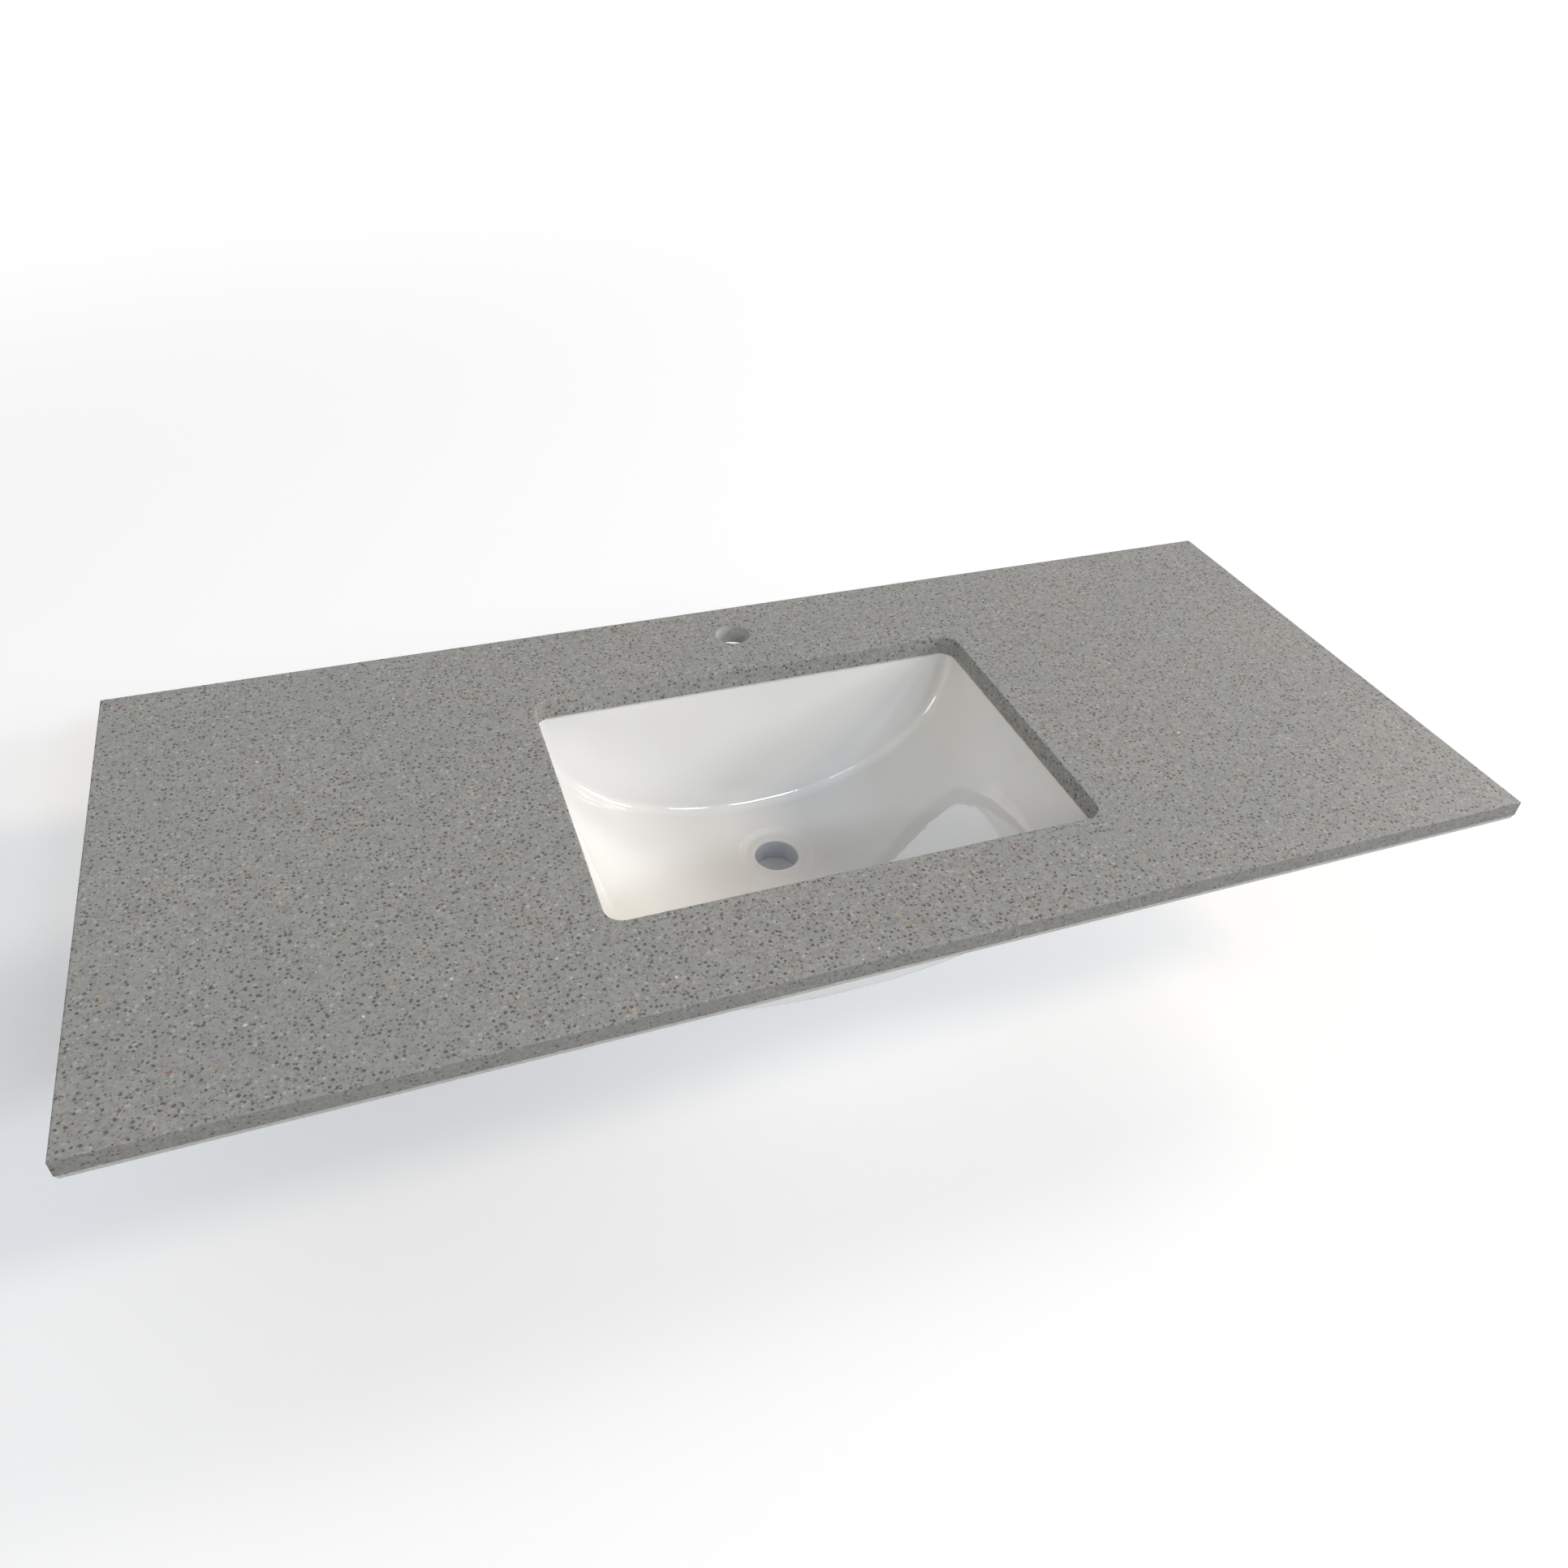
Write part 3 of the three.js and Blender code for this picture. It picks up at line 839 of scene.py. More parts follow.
@dataclass(frozen=True)
class ChinaFinish:
    """White glaze over china: bright, glossy and a little uneven, duller with painted shade in the
    waste hole.
    """

    glaze: Triple = linear(236, 235, 232)
    glaze_warm: Triple = linear(233, 230, 225)
    bisque: Triple = linear(214, 205, 190)
    pinhole: Triple = linear(96, 88, 80)
    # Painted shade: the blue-grey of the waste bore's shaded wall
    bore_painted_shade: Triple = linear(198, 204, 215)
    foot_z: float = -0.1757
    bore: Pair = (0.0224, 0.0238)
    bore_z: Pair = (-0.1545, -0.1532)
    pit_width: float = 0.021
    pit_radius: Pair = (0.012, 0.022)
    pit_rarity: float = 0.955
    foot_waver: float = 0.0006
    swell_scales: Pair = (34.0, 190.0)
    swell_shares: Pair = (0.85, 0.15)
    swell_depth: float = 0.00022

    def make(self) -> Material:
        """The material."""
        paint = Paint("glazed_china")
        wide = paint.grey(7.0, 2.0)
        colour = paint.mix(wide.rising(0.35, 0.7) * 0.7, self.glaze, self.glaze_warm)
        distance, (pick, _, _) = paint.cells(self.pit_width, paint.place)
        hole = (1.0 - distance.rising(*self.pit_radius)) * pick.over(self.pit_rarity)
        colour = paint.mix(hole * 0.7, colour, self.pinhole)
        x, y, z = paint.parts(paint.place)
        # Painted shade in the waste bore: its wall is tinted an uneven darker blue-grey
        inside = 1.0 - away(x, y - WASTE_Y).rising(*self.bore)
        inside = inside * (1.0 - z.rising(*self.bore_z))
        bore_shade_variation = paint.grey(90.0, 3.0) * 0.3 + 0.7
        colour = paint.mix(inside * bore_shade_variation, colour, self.bore_painted_shade)
        foot = z + (paint.grey(60.0) - 0.5) * self.foot_waver
        bare = 1.0 - foot.rising(self.foot_z - self.foot_waver / 2, self.foot_z)
        colour = paint.mix(bare, colour, self.bisque)
        rough = paint.grey(30.0, 3.0) * 0.1 + 0.3 + bare * 0.4 + inside * 0.2
        broad, fine = (
            paint.grey(scale, 1.0) * share
            for scale, share in zip(self.swell_scales, self.swell_shares)
        )
        normal = paint.bump(broad + fine, self.swell_depth)
        paint.set(Base_Color=colour, Roughness=rough, Normal=normal, Coat_Normal=normal)
        paint.set(Specular_IOR_Level=0.12, Coat_Weight=1.0 - bare)
        paint.set(Coat_Roughness=0.01, Coat_IOR=1.7)
        return paint.material


@dataclass(frozen=True)
class SealantFinish:
    """White silicone, tooled smooth and faintly milky."""

    skin: Triple = linear(226, 225, 220)
    shade: Triple = linear(206, 203, 196)
    ripple_depth: float = 0.0003
    milk: float = 0.15
    milk_reach: Triple = (0.002, 0.002, 0.0018)

    def make(self) -> Material:
        """The material."""
        paint = Paint("silicone")
        colour = paint.mix(paint.grey(90.0, 3.0).rising(0.4, 0.7), self.skin, self.shade)
        rough = paint.grey(240.0, 2.0) * 0.12 + 0.34
        normal = paint.bump(paint.grey(150.0, 2.0), self.ripple_depth)
        paint.set(Base_Color=colour, Roughness=rough, Normal=normal)
        paint.set(Subsurface_Weight=self.milk, Subsurface_Radius=self.milk_reach)
        return paint.material


@dataclass(frozen=True)
class PlatedFinish:
    """Bright zinc on steel, with the faint clouds and scuffs of plated hardware."""

    name: str
    bright: Triple = linear(206, 209, 212)
    dull: Triple = linear(176, 180, 184)
    tint: Triple = linear(205, 200, 178)
    roughness: float = 0.27
    grain_stretch: Triple = (60.0, 60.0, 60.0)
    scratch_depth: float = 0.00002

    def make(self) -> Material:
        """The material."""
        paint = Paint(self.name)
        cloud = paint.grey(220.0, 4.0)
        colour = paint.mix(cloud.rising(0.38, 0.68), self.bright, self.dull)
        colour = paint.mix(paint.grey(90.0, 2.0).rising(0.55, 0.75) * 0.4, colour, self.tint)
        mapping = paint.tree.nodes.new("ShaderNodeMapping")
        feed(paint.tree, mapping.inputs["Vector"], paint.place)
        mapping.inputs["Scale"].default_value = self.grain_stretch
        line = Num(paint.tree, paint.noise(40.0, 3.0, mapping.outputs[0]).outputs[0])
        rough = cloud * 0.16 + line * 0.08 + (self.roughness - 0.1)
        normal = paint.bump(line * 0.6 + paint.grey(1400.0, 2.0) * 0.4, self.scratch_depth)
        paint.set(Base_Color=colour, Metallic=1.0, Roughness=rough, Normal=normal)
        return paint.material


@dataclass(frozen=True)
class BrassFinish:
    """Turned brass, ringed by the tool and a little browned."""

    bright: Triple = linear(206, 170, 104)
    brown: Triple = linear(158, 122, 70)
    ring_width: float = 0.0004
    ring_depth: float = 0.00002

    def make(self) -> Material:
        """The material."""
        paint = Paint("turned_brass")
        _, _, z = paint.parts(paint.place)
        ring = (z * (TURN / self.ring_width)).sine() * 0.5 + 0.5
        stain = paint.grey(260.0, 4.0).rising(0.42, 0.72)
        colour = paint.mix(stain * 0.8, self.bright, self.brown)
        rough = stain * 0.2 + ring * 0.06 + 0.24
        paint.set(Base_Color=colour, Metallic=1.0, Roughness=rough)
        paint.set(Normal=paint.bump(ring, self.ring_depth))
        return paint.material


@dataclass(frozen=True)
class Finishes:
    """The finish of every slot, made once."""

    by_slot: dict[Slot, Material] = field(
        default_factory=lambda: {
            Slot.STONE: StoneFinish().make(),
            Slot.CHINA: ChinaFinish().make(),
            Slot.SEALANT: SealantFinish().make(),
            Slot.BRASS: BrassFinish().make(),
            Slot.ZINC: PlatedFinish("zinc_plate").make(),
            Slot.CLIP: PlatedFinish(
                "pressed_zinc_sheet", roughness=0.33, grain_stretch=(20.0, 160.0, 160.0)
            ).make(),
        }
    )

    def __getitem__(self, slot: Slot) -> Material:
        """The material of a slot."""
        return self.by_slot[slot]


# Stone top


@dataclass
class StoneTop:
    """The slab with its cut-out, tap hole, dressed lower arris and blind holes."""

    finishes: Finishes
    half_length: float = 0.6
    half_depth: float = 0.26
    thickness: float = 0.02
    corner: float = 0.0008
    upper_round: float = 0.0015
    arris_setback: float = 0.0015
    cutout_half_length: float = 0.221
    cutout_half_width: float = 0.1525
    cutout_corner: float = 0.016
    tap_radius: float = 0.0175
    tap_bevel: float = 0.0002
    socket_radius: float = 0.0053
    socket_depth: float = 0.0123
    corner_steps: int = 14
    round_steps: int = 6
    straight_steps: int = 24
    tap_sides: int = 96
    socket_sides: int = 32
    crease: float = 32.0

    def outline(self, half_x: float, half_y: float, radius: float, y: float) -> list[Pair]:
        """Points round a rectangle with round corners.

        Args:
            half_x: Half its length.
            half_y: Half its width.
            radius: The radius of its corners.
            y: The middle of its width.

        Returns:
            The points, anticlockwise, with extra points along the straight sides.
        """
        points = rectangle((half_x, half_y), radius, self.corner_steps, y)
        count = self.corner_steps + 1
        full: list[Pair] = []
        for place, point in enumerate(points):
            full.append(point)
            if place % count == count - 1:
                (x, start), (far, end) = point, points[(place + 1) % len(points)]
                for step in range(1, self.straight_steps):
                    share = step / self.straight_steps
                    full.append((x + (far - x) * share, start + (end - start) * share))
        return full

    def circle(self, radius: float, x: float, y: float, sides: int) -> list[Pair]:
        """Points round a circle."""
        return arc((x, y), (radius, radius), 0, 4, sides)[:-1]

    def wall(
        self, mesh: Mesh, levels: Levels
    ) -> tuple[list[bmesh.types.BMEdge], list[bmesh.types.BMEdge]]:
        """Faces between outlines at rising heights.

        Args:
            mesh: The mesh to add to.
            levels: The outlines with their heights, of equal count.

        Returns:
            The edges of the lowest outline and those of the highest.
        """
        rows = [[mesh.verts.new((x, y, z)) for x, y in outline] for outline, z in levels]
        join_rows(mesh, zip(rows, rows[1:]))

        def ring(row: Row) -> list[bmesh.types.BMEdge]:
            """The closed ring of edges through a row."""
            return [mesh.edges.get(pair) for pair in zip(row, row[1:] + row[:1])]

        return ring(rows[0]), ring(rows[-1])

    def rounded(self, radius: float) -> list[Pair]:
        """Insets and rises of a quarter round, from its foot to its crown."""
        return arc((radius, 0.0), (radius, radius), 2, 1, self.round_steps)

    def side_levels(self) -> Levels:
        """The slab's outer side, from the arris to the rounded upper edge."""

        def at(inset: float, z: float) -> tuple[list[Pair], float]:
            """The outline at an inset and a height."""
            half_x, half_y = self.half_length - inset, self.half_depth - inset
            return self.outline(half_x, half_y, self.corner, TOP_Y), z

        foot = self.thickness - self.upper_round
        levels = [at(self.arris_setback, 0.0), at(0.0, ARRIS_HEIGHT)]
        levels += [at(inset, foot + rise) for inset, rise in self.rounded(self.upper_round)]
        return levels

    def cutout_levels(self) -> Levels:
        """The wall of the cut-out, from the underside to the rounded upper edge."""

        def at(growth: float, z: float) -> tuple[list[Pair], float]:
            """The outline at a growth and a height."""
            half_x, half_y = self.cutout_half_length + growth, self.cutout_half_width + growth
            corner = self.cutout_corner + growth
            return self.outline(half_x, half_y, corner, BOWL_Y), z

        foot = self.thickness - self.upper_round
        levels = [at(0.0, 0.0)]
        levels += [at(inset, foot + rise) for inset, rise in self.rounded(self.upper_round)]
        return levels

    def tap_levels(self) -> Levels:
        """The wall of the tap hole, with its bevelled mouth."""
        bevel = self.tap_bevel
        return [
            (self.circle(self.tap_radius + grown, 0.0, TAP_Y, self.tap_sides), z)
            for grown, z in ((0.0, 0.0), (0.0, self.thickness - bevel), (bevel, self.thickness))
        ]

    def build(self) -> None:
        """Makes the slab and sets it in place of its node."""
        mesh = bmesh.new()
        low, high = self.wall(mesh, self.side_levels())
        for levels in (self.cutout_levels(), self.tap_levels()):
            foot, crown = self.wall(mesh, levels)
            low += foot
            high += crown
        for x, y in STUD_AXES.values():
            ring = self.circle(self.socket_radius, x, y, self.socket_sides)
            foot, crown = self.wall(mesh, [(ring, 0.0), (ring, self.socket_depth)])
            low += foot
            mesh.faces.new([edge.verts[0] for edge in crown])
        for edges in (low, high):
            bmesh.ops.triangle_fill(mesh, use_beauty=True, edges=edges)
        bmesh.ops.recalc_face_normals(mesh, faces=mesh.faces)
        slab = mesh_object("stone_slab", mesh)
        dress(slab, self.finishes[Slot.STONE])
        smooth(slab, self.crease)
        weighted(slab)
        report(slab, "root", Slot.STONE, "stone_top")


# Bowl


@dataclass(frozen=True)
class TroughCount:
    """How many faces a trough has: along it, in half its floor, in a valley and up a wall."""

    along: int
    floor: float
    valley: float
    wall: float

    def half(self) -> int:
        """The faces from the middle of the floor to a wall's top."""
        return int(self.floor + self.valley + self.wall)


@dataclass(frozen=True)
class Window:
    """The faces left out round the waste: half of those along, and two lines behind the middle."""

    half_along: int = 14
    first: int = 5
    last: int = 40


@dataclass
class Bowl:
    """The china bowl: a trough of U section with rolled valleys, made by one rule."""

    finishes: Finishes
    half_length: float = 0.222
    half_width: float = 0.1535
    rim_z: float = -0.0022
    depth: float = 0.140
    china: float = 0.009
    wall_lean: float = 0.12
    side_power: float = 2.22
    floor_power: float = 2.13
    valley_at_mouth: float = 0.012
    valley_at_floor: float = 0.013
    fall: float = 0.008
    fall_reach_x: float = 0.19
    fall_reach_y: float = 0.11
    bore: float = 0.022
    lip: float = 0.003
    recess_inner: float = 0.0305
    recess_outer: float = 0.0395
    recess_depth: float = 0.002
    boss: float = 0.037
    boss_height: float = 0.024
    boss_round: float = 0.003
    flange_growth: float = 0.029
    flange_thickness: float = 0.014
    flange_round: float = 0.004
    neck: float = 0.008
    mouth_corner: float = 0.017
    cover: float = 0.001
    overrun: float = 0.002
    inner_count: TroughCount = TroughCount(208, 46.0, 12.0, 24.0)
    outer_count: TroughCount = TroughCount(96, 18.0, 8.0, 10.0)
    window: Window = Window()
    patch_rings: tuple[int, ...] = (10, 20, 8, 6)
    arc_steps: int = 6
    corner_steps: int = 16
    boss_sides: int = 96
    crease: float = 38.0

    def sink(self, shape: ShapeTree, x: Num, y: Num) -> Num:
        """How far the floor has sunk at a place, falling to the waste from all sides."""
        reach = away(x / self.fall_reach_x, (y - WASTE_Y) / self.fall_reach_y).at_most(1.0)
        return shape.size("Fall") * 0.5 * ((reach * math.pi).cosine() + 1.0)

    def trough_point(
        self, shape: ShapeTree, count: TroughCount, grown: Value, top: float, u: Num, v: Num
    ) -> Point:
        """A point of the trough and its two leaning end walls.

        Args:
            shape: The tree.
            count: The trough's faces.
            grown: How far outside the inner surface the trough lies.
            top: The height of its upper edge.
            u: The place along the trough, from minus one to one.
            v: The count of faces from the middle of the floor, negative to the front.

        Returns:
            X, Y and Z.
        """
        half_length = shape.size("Half length") + grown
        half_width = shape.size("Half width") + grown
        floor = self.rim_z - shape.size("Depth") - grown
        depth = top - floor
        side_power, floor_power = shape.size("Side power"), shape.size("Floor power")
        reach = (u * QUARTER).sine()
        across = reach.size()
        down = (1.0 - across**side_power).at_least(0.0) ** (1.0 / floor_power)
        slope_x = side_power / half_length * across ** (side_power - 1.0)
        slope_z = floor_power / depth * down ** (floor_power - 1.0)
        length = away(slope_x, slope_z)
        in_x = -(reach.sign() * slope_x / length)
        in_z = slope_z / length
        mouth, low = shape.size("Valley at mouth"), shape.size("Valley at floor")
        valley = low.towards(mouth, across) + grown

        side, line = v.sign(), v.size()
        floor_share = (line / count.floor).within(0.0, 1.0)
        valley_share = ((line - count.floor) / count.valley).within(0.0, 1.0)
        wall_share = ((line - count.floor - count.valley) / count.wall).within(0.0, 1.0)

        lean = (shape.size("Wall lean") * in_z).apply("ARCTANGENT")
        foot = half_width - shape.size("Wall lean") * (depth * down)
        tangent = valley / ((lean + QUARTER) * 0.5).tangent()
        angle = 1.5 * math.pi - valley_share * (QUARTER - lean)
        outward = tangent + valley * angle.cosine()
        inward = valley * (angle.sine() + 1.0)
        reach_y = floor_share * (foot - tangent) + (tangent - outward)
        x = half_length * reach + in_x * inward
        y = side * reach_y + BOWL_Y
        z = top - depth * down + in_z * inward - self.sink(shape, x, y)
        y = y.towards(side * half_width + BOWL_Y, wall_share)
        z = z.towards(top, wall_share)
        return x, y, z

    def floor_height(self, shape: ShapeTree, top: float, x: Num, y: Num) -> Num:
        """The height of the inner floor above a place in plan."""
        floor = self.rim_z - shape.size("Depth")
        across = x.size() / shape.size("Half length")
        down = (1.0 - across ** shape.size("Side power")) ** (1.0 / shape.size("Floor power"))
        return top - (top - floor) * down - self.sink(shape, x, y)

    def closed_trough(
        self, shape: ShapeTree, count: TroughCount, grown: Value, top: float
    ) -> Rule:
        """The rule for a grid over the trough, closed over its mouth.

        Args:
            shape: The tree.
            count: The trough's faces.
            grown: How far outside the inner surface the trough lies.
            top: The height of its upper edge.

        Returns:
            The rule, which draws the grid's outermost points to one place in the mouth.
        """
        half_along, half_rows = count.along / 2, count.half()
        middle = (0.0, BOWL_Y, top)

        def place(i: Num, j: Num) -> Point:
            """A point of the trough, or the one in the mouth."""
            u = ((i - 1.0) / half_along - 1.0).within(-1.0, 1.0)
            v = (j - 1.0 - half_rows).within(-half_rows, half_rows)
            closing = (i - (half_along + 1)).size().over(half_along + 0.5).at_least(
                (j - (half_rows + 1)).size().over(half_rows + 0.5)
            )
            point = self.trough_point(shape, count, grown, top, u, v)
            return tuple(value.towards(end, closing) for value, end in zip(point, middle))

        return place

    def inner_tool(self, shape: ShapeTree) -> Socket:
        """The space inside the bowl, with the recess and bore of the waste, as one closed mesh."""
        count, top = self.inner_count, self.rim_z + self.overrun
        down = 2 * count.half() + 2
        grid = shape.grid(count.along + 2, down, self.closed_trough(shape, count, 0.0, top))
        grid = self.without_window(shape, grid, down)
        return shape.turned_over(shape.welded(grid, self.waste_patch(shape, top)))

    def without_window(self, shape: ShapeTree, grid: Socket, down: int) -> Socket:
        """The inner grid without the faces round the waste.

        Args:
            shape: The tree.
            grid: The grid.
            down: The number of its faces in a line.

        Returns:
            The grid with the window open.
        """
        counts = []
        for name, value in zip(("row", "column"), shape.counts(down)):
            grid = shape.node(
                "GeometryNodeStoreNamedAttribute", Geometry=grid, Name=name, Value=value
            ).outputs[0]
            node = shape.node("GeometryNodeInputNamedAttribute", Name=name)
            node.data_type = "FLOAT"
            counts.append(Num(shape.tree, node.outputs["Attribute"]))
        row, column = counts
        window = self.window
        middle = self.inner_count.half() + 1 + (window.first + window.last) / 2
        reach = (window.last - window.first) / 2
        outside = (row - (self.inner_count.along / 2 + 1)).size().over(
            float(window.half_along)
        ).at_least((column - middle).size().over(reach))
        delete = shape.node("GeometryNodeDeleteGeometry", Geometry=grid, Selection=1.0 - outside)
        delete.domain = "FACE"
        return delete.outputs[0]

    def waste_patch(self, shape: ShapeTree, top: float) -> Socket:
        """Rings of faces from the window in to the recess, the lip and the bore of the waste.

        Args:
            shape: The tree.
            top: The height of the trough's upper edge.

        Returns:
            The patch.
        """
        window, half_along = self.window, self.inner_count.along / 2
        wide, tall = float(2 * window.half_along), float(window.last - window.first)
        around = int(2 * (wide + tall))
        rings = sum(self.patch_rings) + 1
        starts = [float(sum(self.patch_rings[:place])) for place in range(len(self.patch_rings))]
        seat = self.rim_z - self.depth - self.fall - self.recess_depth
        lowest = seat - self.boss_height - self.overrun

        def place(k: Num, m: Num) -> Point:
            """The point for a count round the window and a count inwards."""
            i = k.within(0.0, wide) - (k - (wide + tall)).within(0.0, wide)
            j = (k - wide).within(0.0, tall) - (k - (2 * wide + tall)).within(0.0, tall)
            u, v = (i - float(window.half_along)) / half_along, j + float(window.first)
            edge = self.trough_point(shape, self.inner_count, 0.0, top, u, v)
            run, rise = edge[0], edge[1] - WASTE_Y
            spread = away(run, rise)
            shares = [
                ((m - start) / float(count)).within(0.0, 1.0)
                for start, count in zip(starts, self.patch_rings)
            ]
            closing = m.over(rings - 0.5)
            outer = self.recess_outer + self.lip
            lip_start = self.bore + self.lip
            turn = shares[2] * QUARTER
            flat = spread.towards(outer, shares[0]) + (lip_start - outer) * shares[1]
            radius = (flat - self.lip * turn.sine()) * (1.0 - closing)
            way_x, way_y = run / spread, rise / spread
            x, y = way_x * radius, way_y * radius + WASTE_Y
            floor = self.floor_height(shape, top, way_x * flat, way_y * flat + WASTE_Y)
            z = floor.towards(seat, 1.0 - flat.rising(self.recess_inner, self.recess_outer))
            z = z - self.lip * (1.0 - turn.cosine())
            z = z.towards(lowest, shares[3])
            z = z.towards(edge[2], m.size().apply("LESS_THAN", 0.5))
            return x, y, z

        return shape.grid(around, rings, place)

    def outer_solid(self, shape: ShapeTree) -> Socket:
        """The outside of the trough, as one closed mesh."""
        count, top = self.outer_count, self.rim_z - self.flange_thickness / 2
        rule = self.closed_trough(shape, count, shape.size("China"), top)
        grid = shape.grid(count.along + 2, 2 * count.half() + 2, rule)
        return shape.turned_over(shape.welded(grid))

    def boss_solid(self, shape: ShapeTree) -> Socket:
        """The boss under the waste hole, splayed into the floor above it."""
        floor = self.rim_z - self.depth
        under = floor - self.fall - self.recess_depth - self.boss_height
        ease, splay = self.boss_round, self.boss_round * 2
        low = floor - self.fall - self.china + ease
        profile = [
            (0.0, floor),
            (self.boss + splay * 1.5, floor),
            *arc((self.boss + splay, low - splay), (splay, splay), 1, 2, self.arc_steps),
            *arc((self.boss - ease, under + ease), (ease, ease), 0, -1, self.arc_steps),
            (0.0, under),
        ]
        return shape.turned(profile, self.boss_sides, 0.0, WASTE_Y)

    def flange_solid(self, shape: ShapeTree) -> Socket:
        """The flange and its neck, swept round the mouth."""
        under = self.rim_z - self.flange_thickness
        inner = self.neck / 2 - self.china
        splay = self.china + self.neck / 2 + self.cover
        ease, growth = self.flange_round, self.flange_growth
        neck = (self.neck / 2, self.neck)
        profile = [
            (inner, self.rim_z),
            (inner, under - self.neck),
            *arc((splay, under - self.neck), neck, 2, 1, self.arc_steps),
            *arc((growth - ease, under + ease), (ease, ease), -1, 0, self.arc_steps),
            (growth, self.rim_z),
            (inner, self.rim_z),
        ]
        return self.swept(shape, profile)

    def swept(self, shape: ShapeTree, profile: Sequence[Pair]) -> Socket:
        """A closed ring round the mouth.

        Args:
            shape: The tree.
            profile: Growth outwards from the cut-out and height, closed.

        Returns:
            The closed mesh.
        """
        steps, nudge = float(self.corner_steps), 1e-4
        corner = self.mouth_corner - self.cover
        half_x, half_y = self.half_length - self.mouth_corner, self.half_width - self.mouth_corner

        def place(i: Num, j: Num) -> Point:
            """A point of the ring."""
            quarter = (i / (steps + 1.0) + nudge).floor()
            step = i - quarter * (steps + 1.0)
            angle = (quarter + step / steps) * QUARTER
            middle = (quarter + 0.5) * QUARTER
            radius = along(j, [point[0] for point in profile]) + corner
            x = middle.cosine().sign() * half_x + angle.cosine() * radius
            y = middle.sine().sign() * half_y + angle.sine() * radius + BOWL_Y
            return x, y, along(j, [point[1] for point in profile])

        return shape.welded(shape.grid(4 * (self.corner_steps + 1), len(profile) - 1, place))

    def build(self) -> None:
        """Makes the bowl and sets it in place of its node."""
        lengths = named(self, "Half length", "Half width", "Depth", "China", "Fall")
        curves = named(self, "Wall lean", "Side power", "Floor power")
        valleys = named(self, "Valley at mouth", "Valley at floor")
        shape = ShapeTree("bowl", lengths | curves | valleys)
        solids = self.outer_solid(shape), self.flange_solid(shape), self.boss_solid(shape)
        cast = shape.boolean("UNION", *solids)
        result = shape.boolean("DIFFERENCE", self.inner_tool(shape), base=cast)
        bowl = shape.mesh(result, self.finishes[Slot.CHINA], "china_bowl")
        smooth(bowl, self.crease)
        report(bowl, "root", Slot.CHINA, "basin_bowl")


# Sealant


@dataclass
class Bead:
    """The sealant bead round the mouth, squeezed between the bowl's rim and the stone."""

    finishes: Finishes
    half_length: float = 0.228
    half_width: float = 0.1595
    corner: float = 0.023
    width: float = 0.013
    thickness: float = 0.0016
    middle_z: float = -0.0011
    edge_round: float = 0.0007
    corner_steps: int = 20
    edge_steps: int = 5
    crease: float = 60.0

    def rounded_frame(
        self, shape: ShapeTree, width: Num, height: Num, corner: Num, steps: int
    ) -> Socket:
        """A closed rectangle of curve with rounded corners.

        Args:
            shape: The tree.
            width: Its width.
            height: Its height.
            corner: The radius of its corners.
            steps: The points in a corner.

        Returns:
            The curve.
        """
        sides = shape.node("GeometryNodeCurvePrimitiveQuadrilateral", Width=width, Height=height)
        fillet = shape.node("GeometryNodeFilletCurve", Curve=sides.outputs[0], Radius=corner)
        fillet.mode = "POLY"
        fillet.inputs["Count"].default_value = steps
        return fillet.outputs[0]

    def build(self) -> None:
        """Makes the bead and sets it in place of its node."""
        mouth = named(self, "Half length", "Half width", "Corner")
        shape = ShapeTree("bead", mouth | named(self, "Width", "Thickness", "Edge round"))
        length, width = shape.size("Half length") * 2.0, shape.size("Half width") * 2.0
        path = self.rounded_frame(shape, length, width, shape.size("Corner"), self.corner_steps)
        section = (shape.size(name) for name in ("Width", "Thickness", "Edge round"))
        profile = self.rounded_frame(shape, *section, self.edge_steps)
        swept = shape.node("GeometryNodeCurveToMesh", Curve=path, Profile_Curve=profile)
        middle = (0.0, BOWL_Y, self.middle_z)
        placed_bead = shape.node(
            "GeometryNodeTransform", Geometry=swept.outputs[0], Translation=middle
        )
        bead = shape.mesh(placed_bead.outputs[0], self.finishes[Slot.SEALANT], "sealant_bead")
        outward(bead)
        smooth(bead, self.crease)
        report(bead, "root", Slot.SEALANT, "silicone_bead")


# Fixings


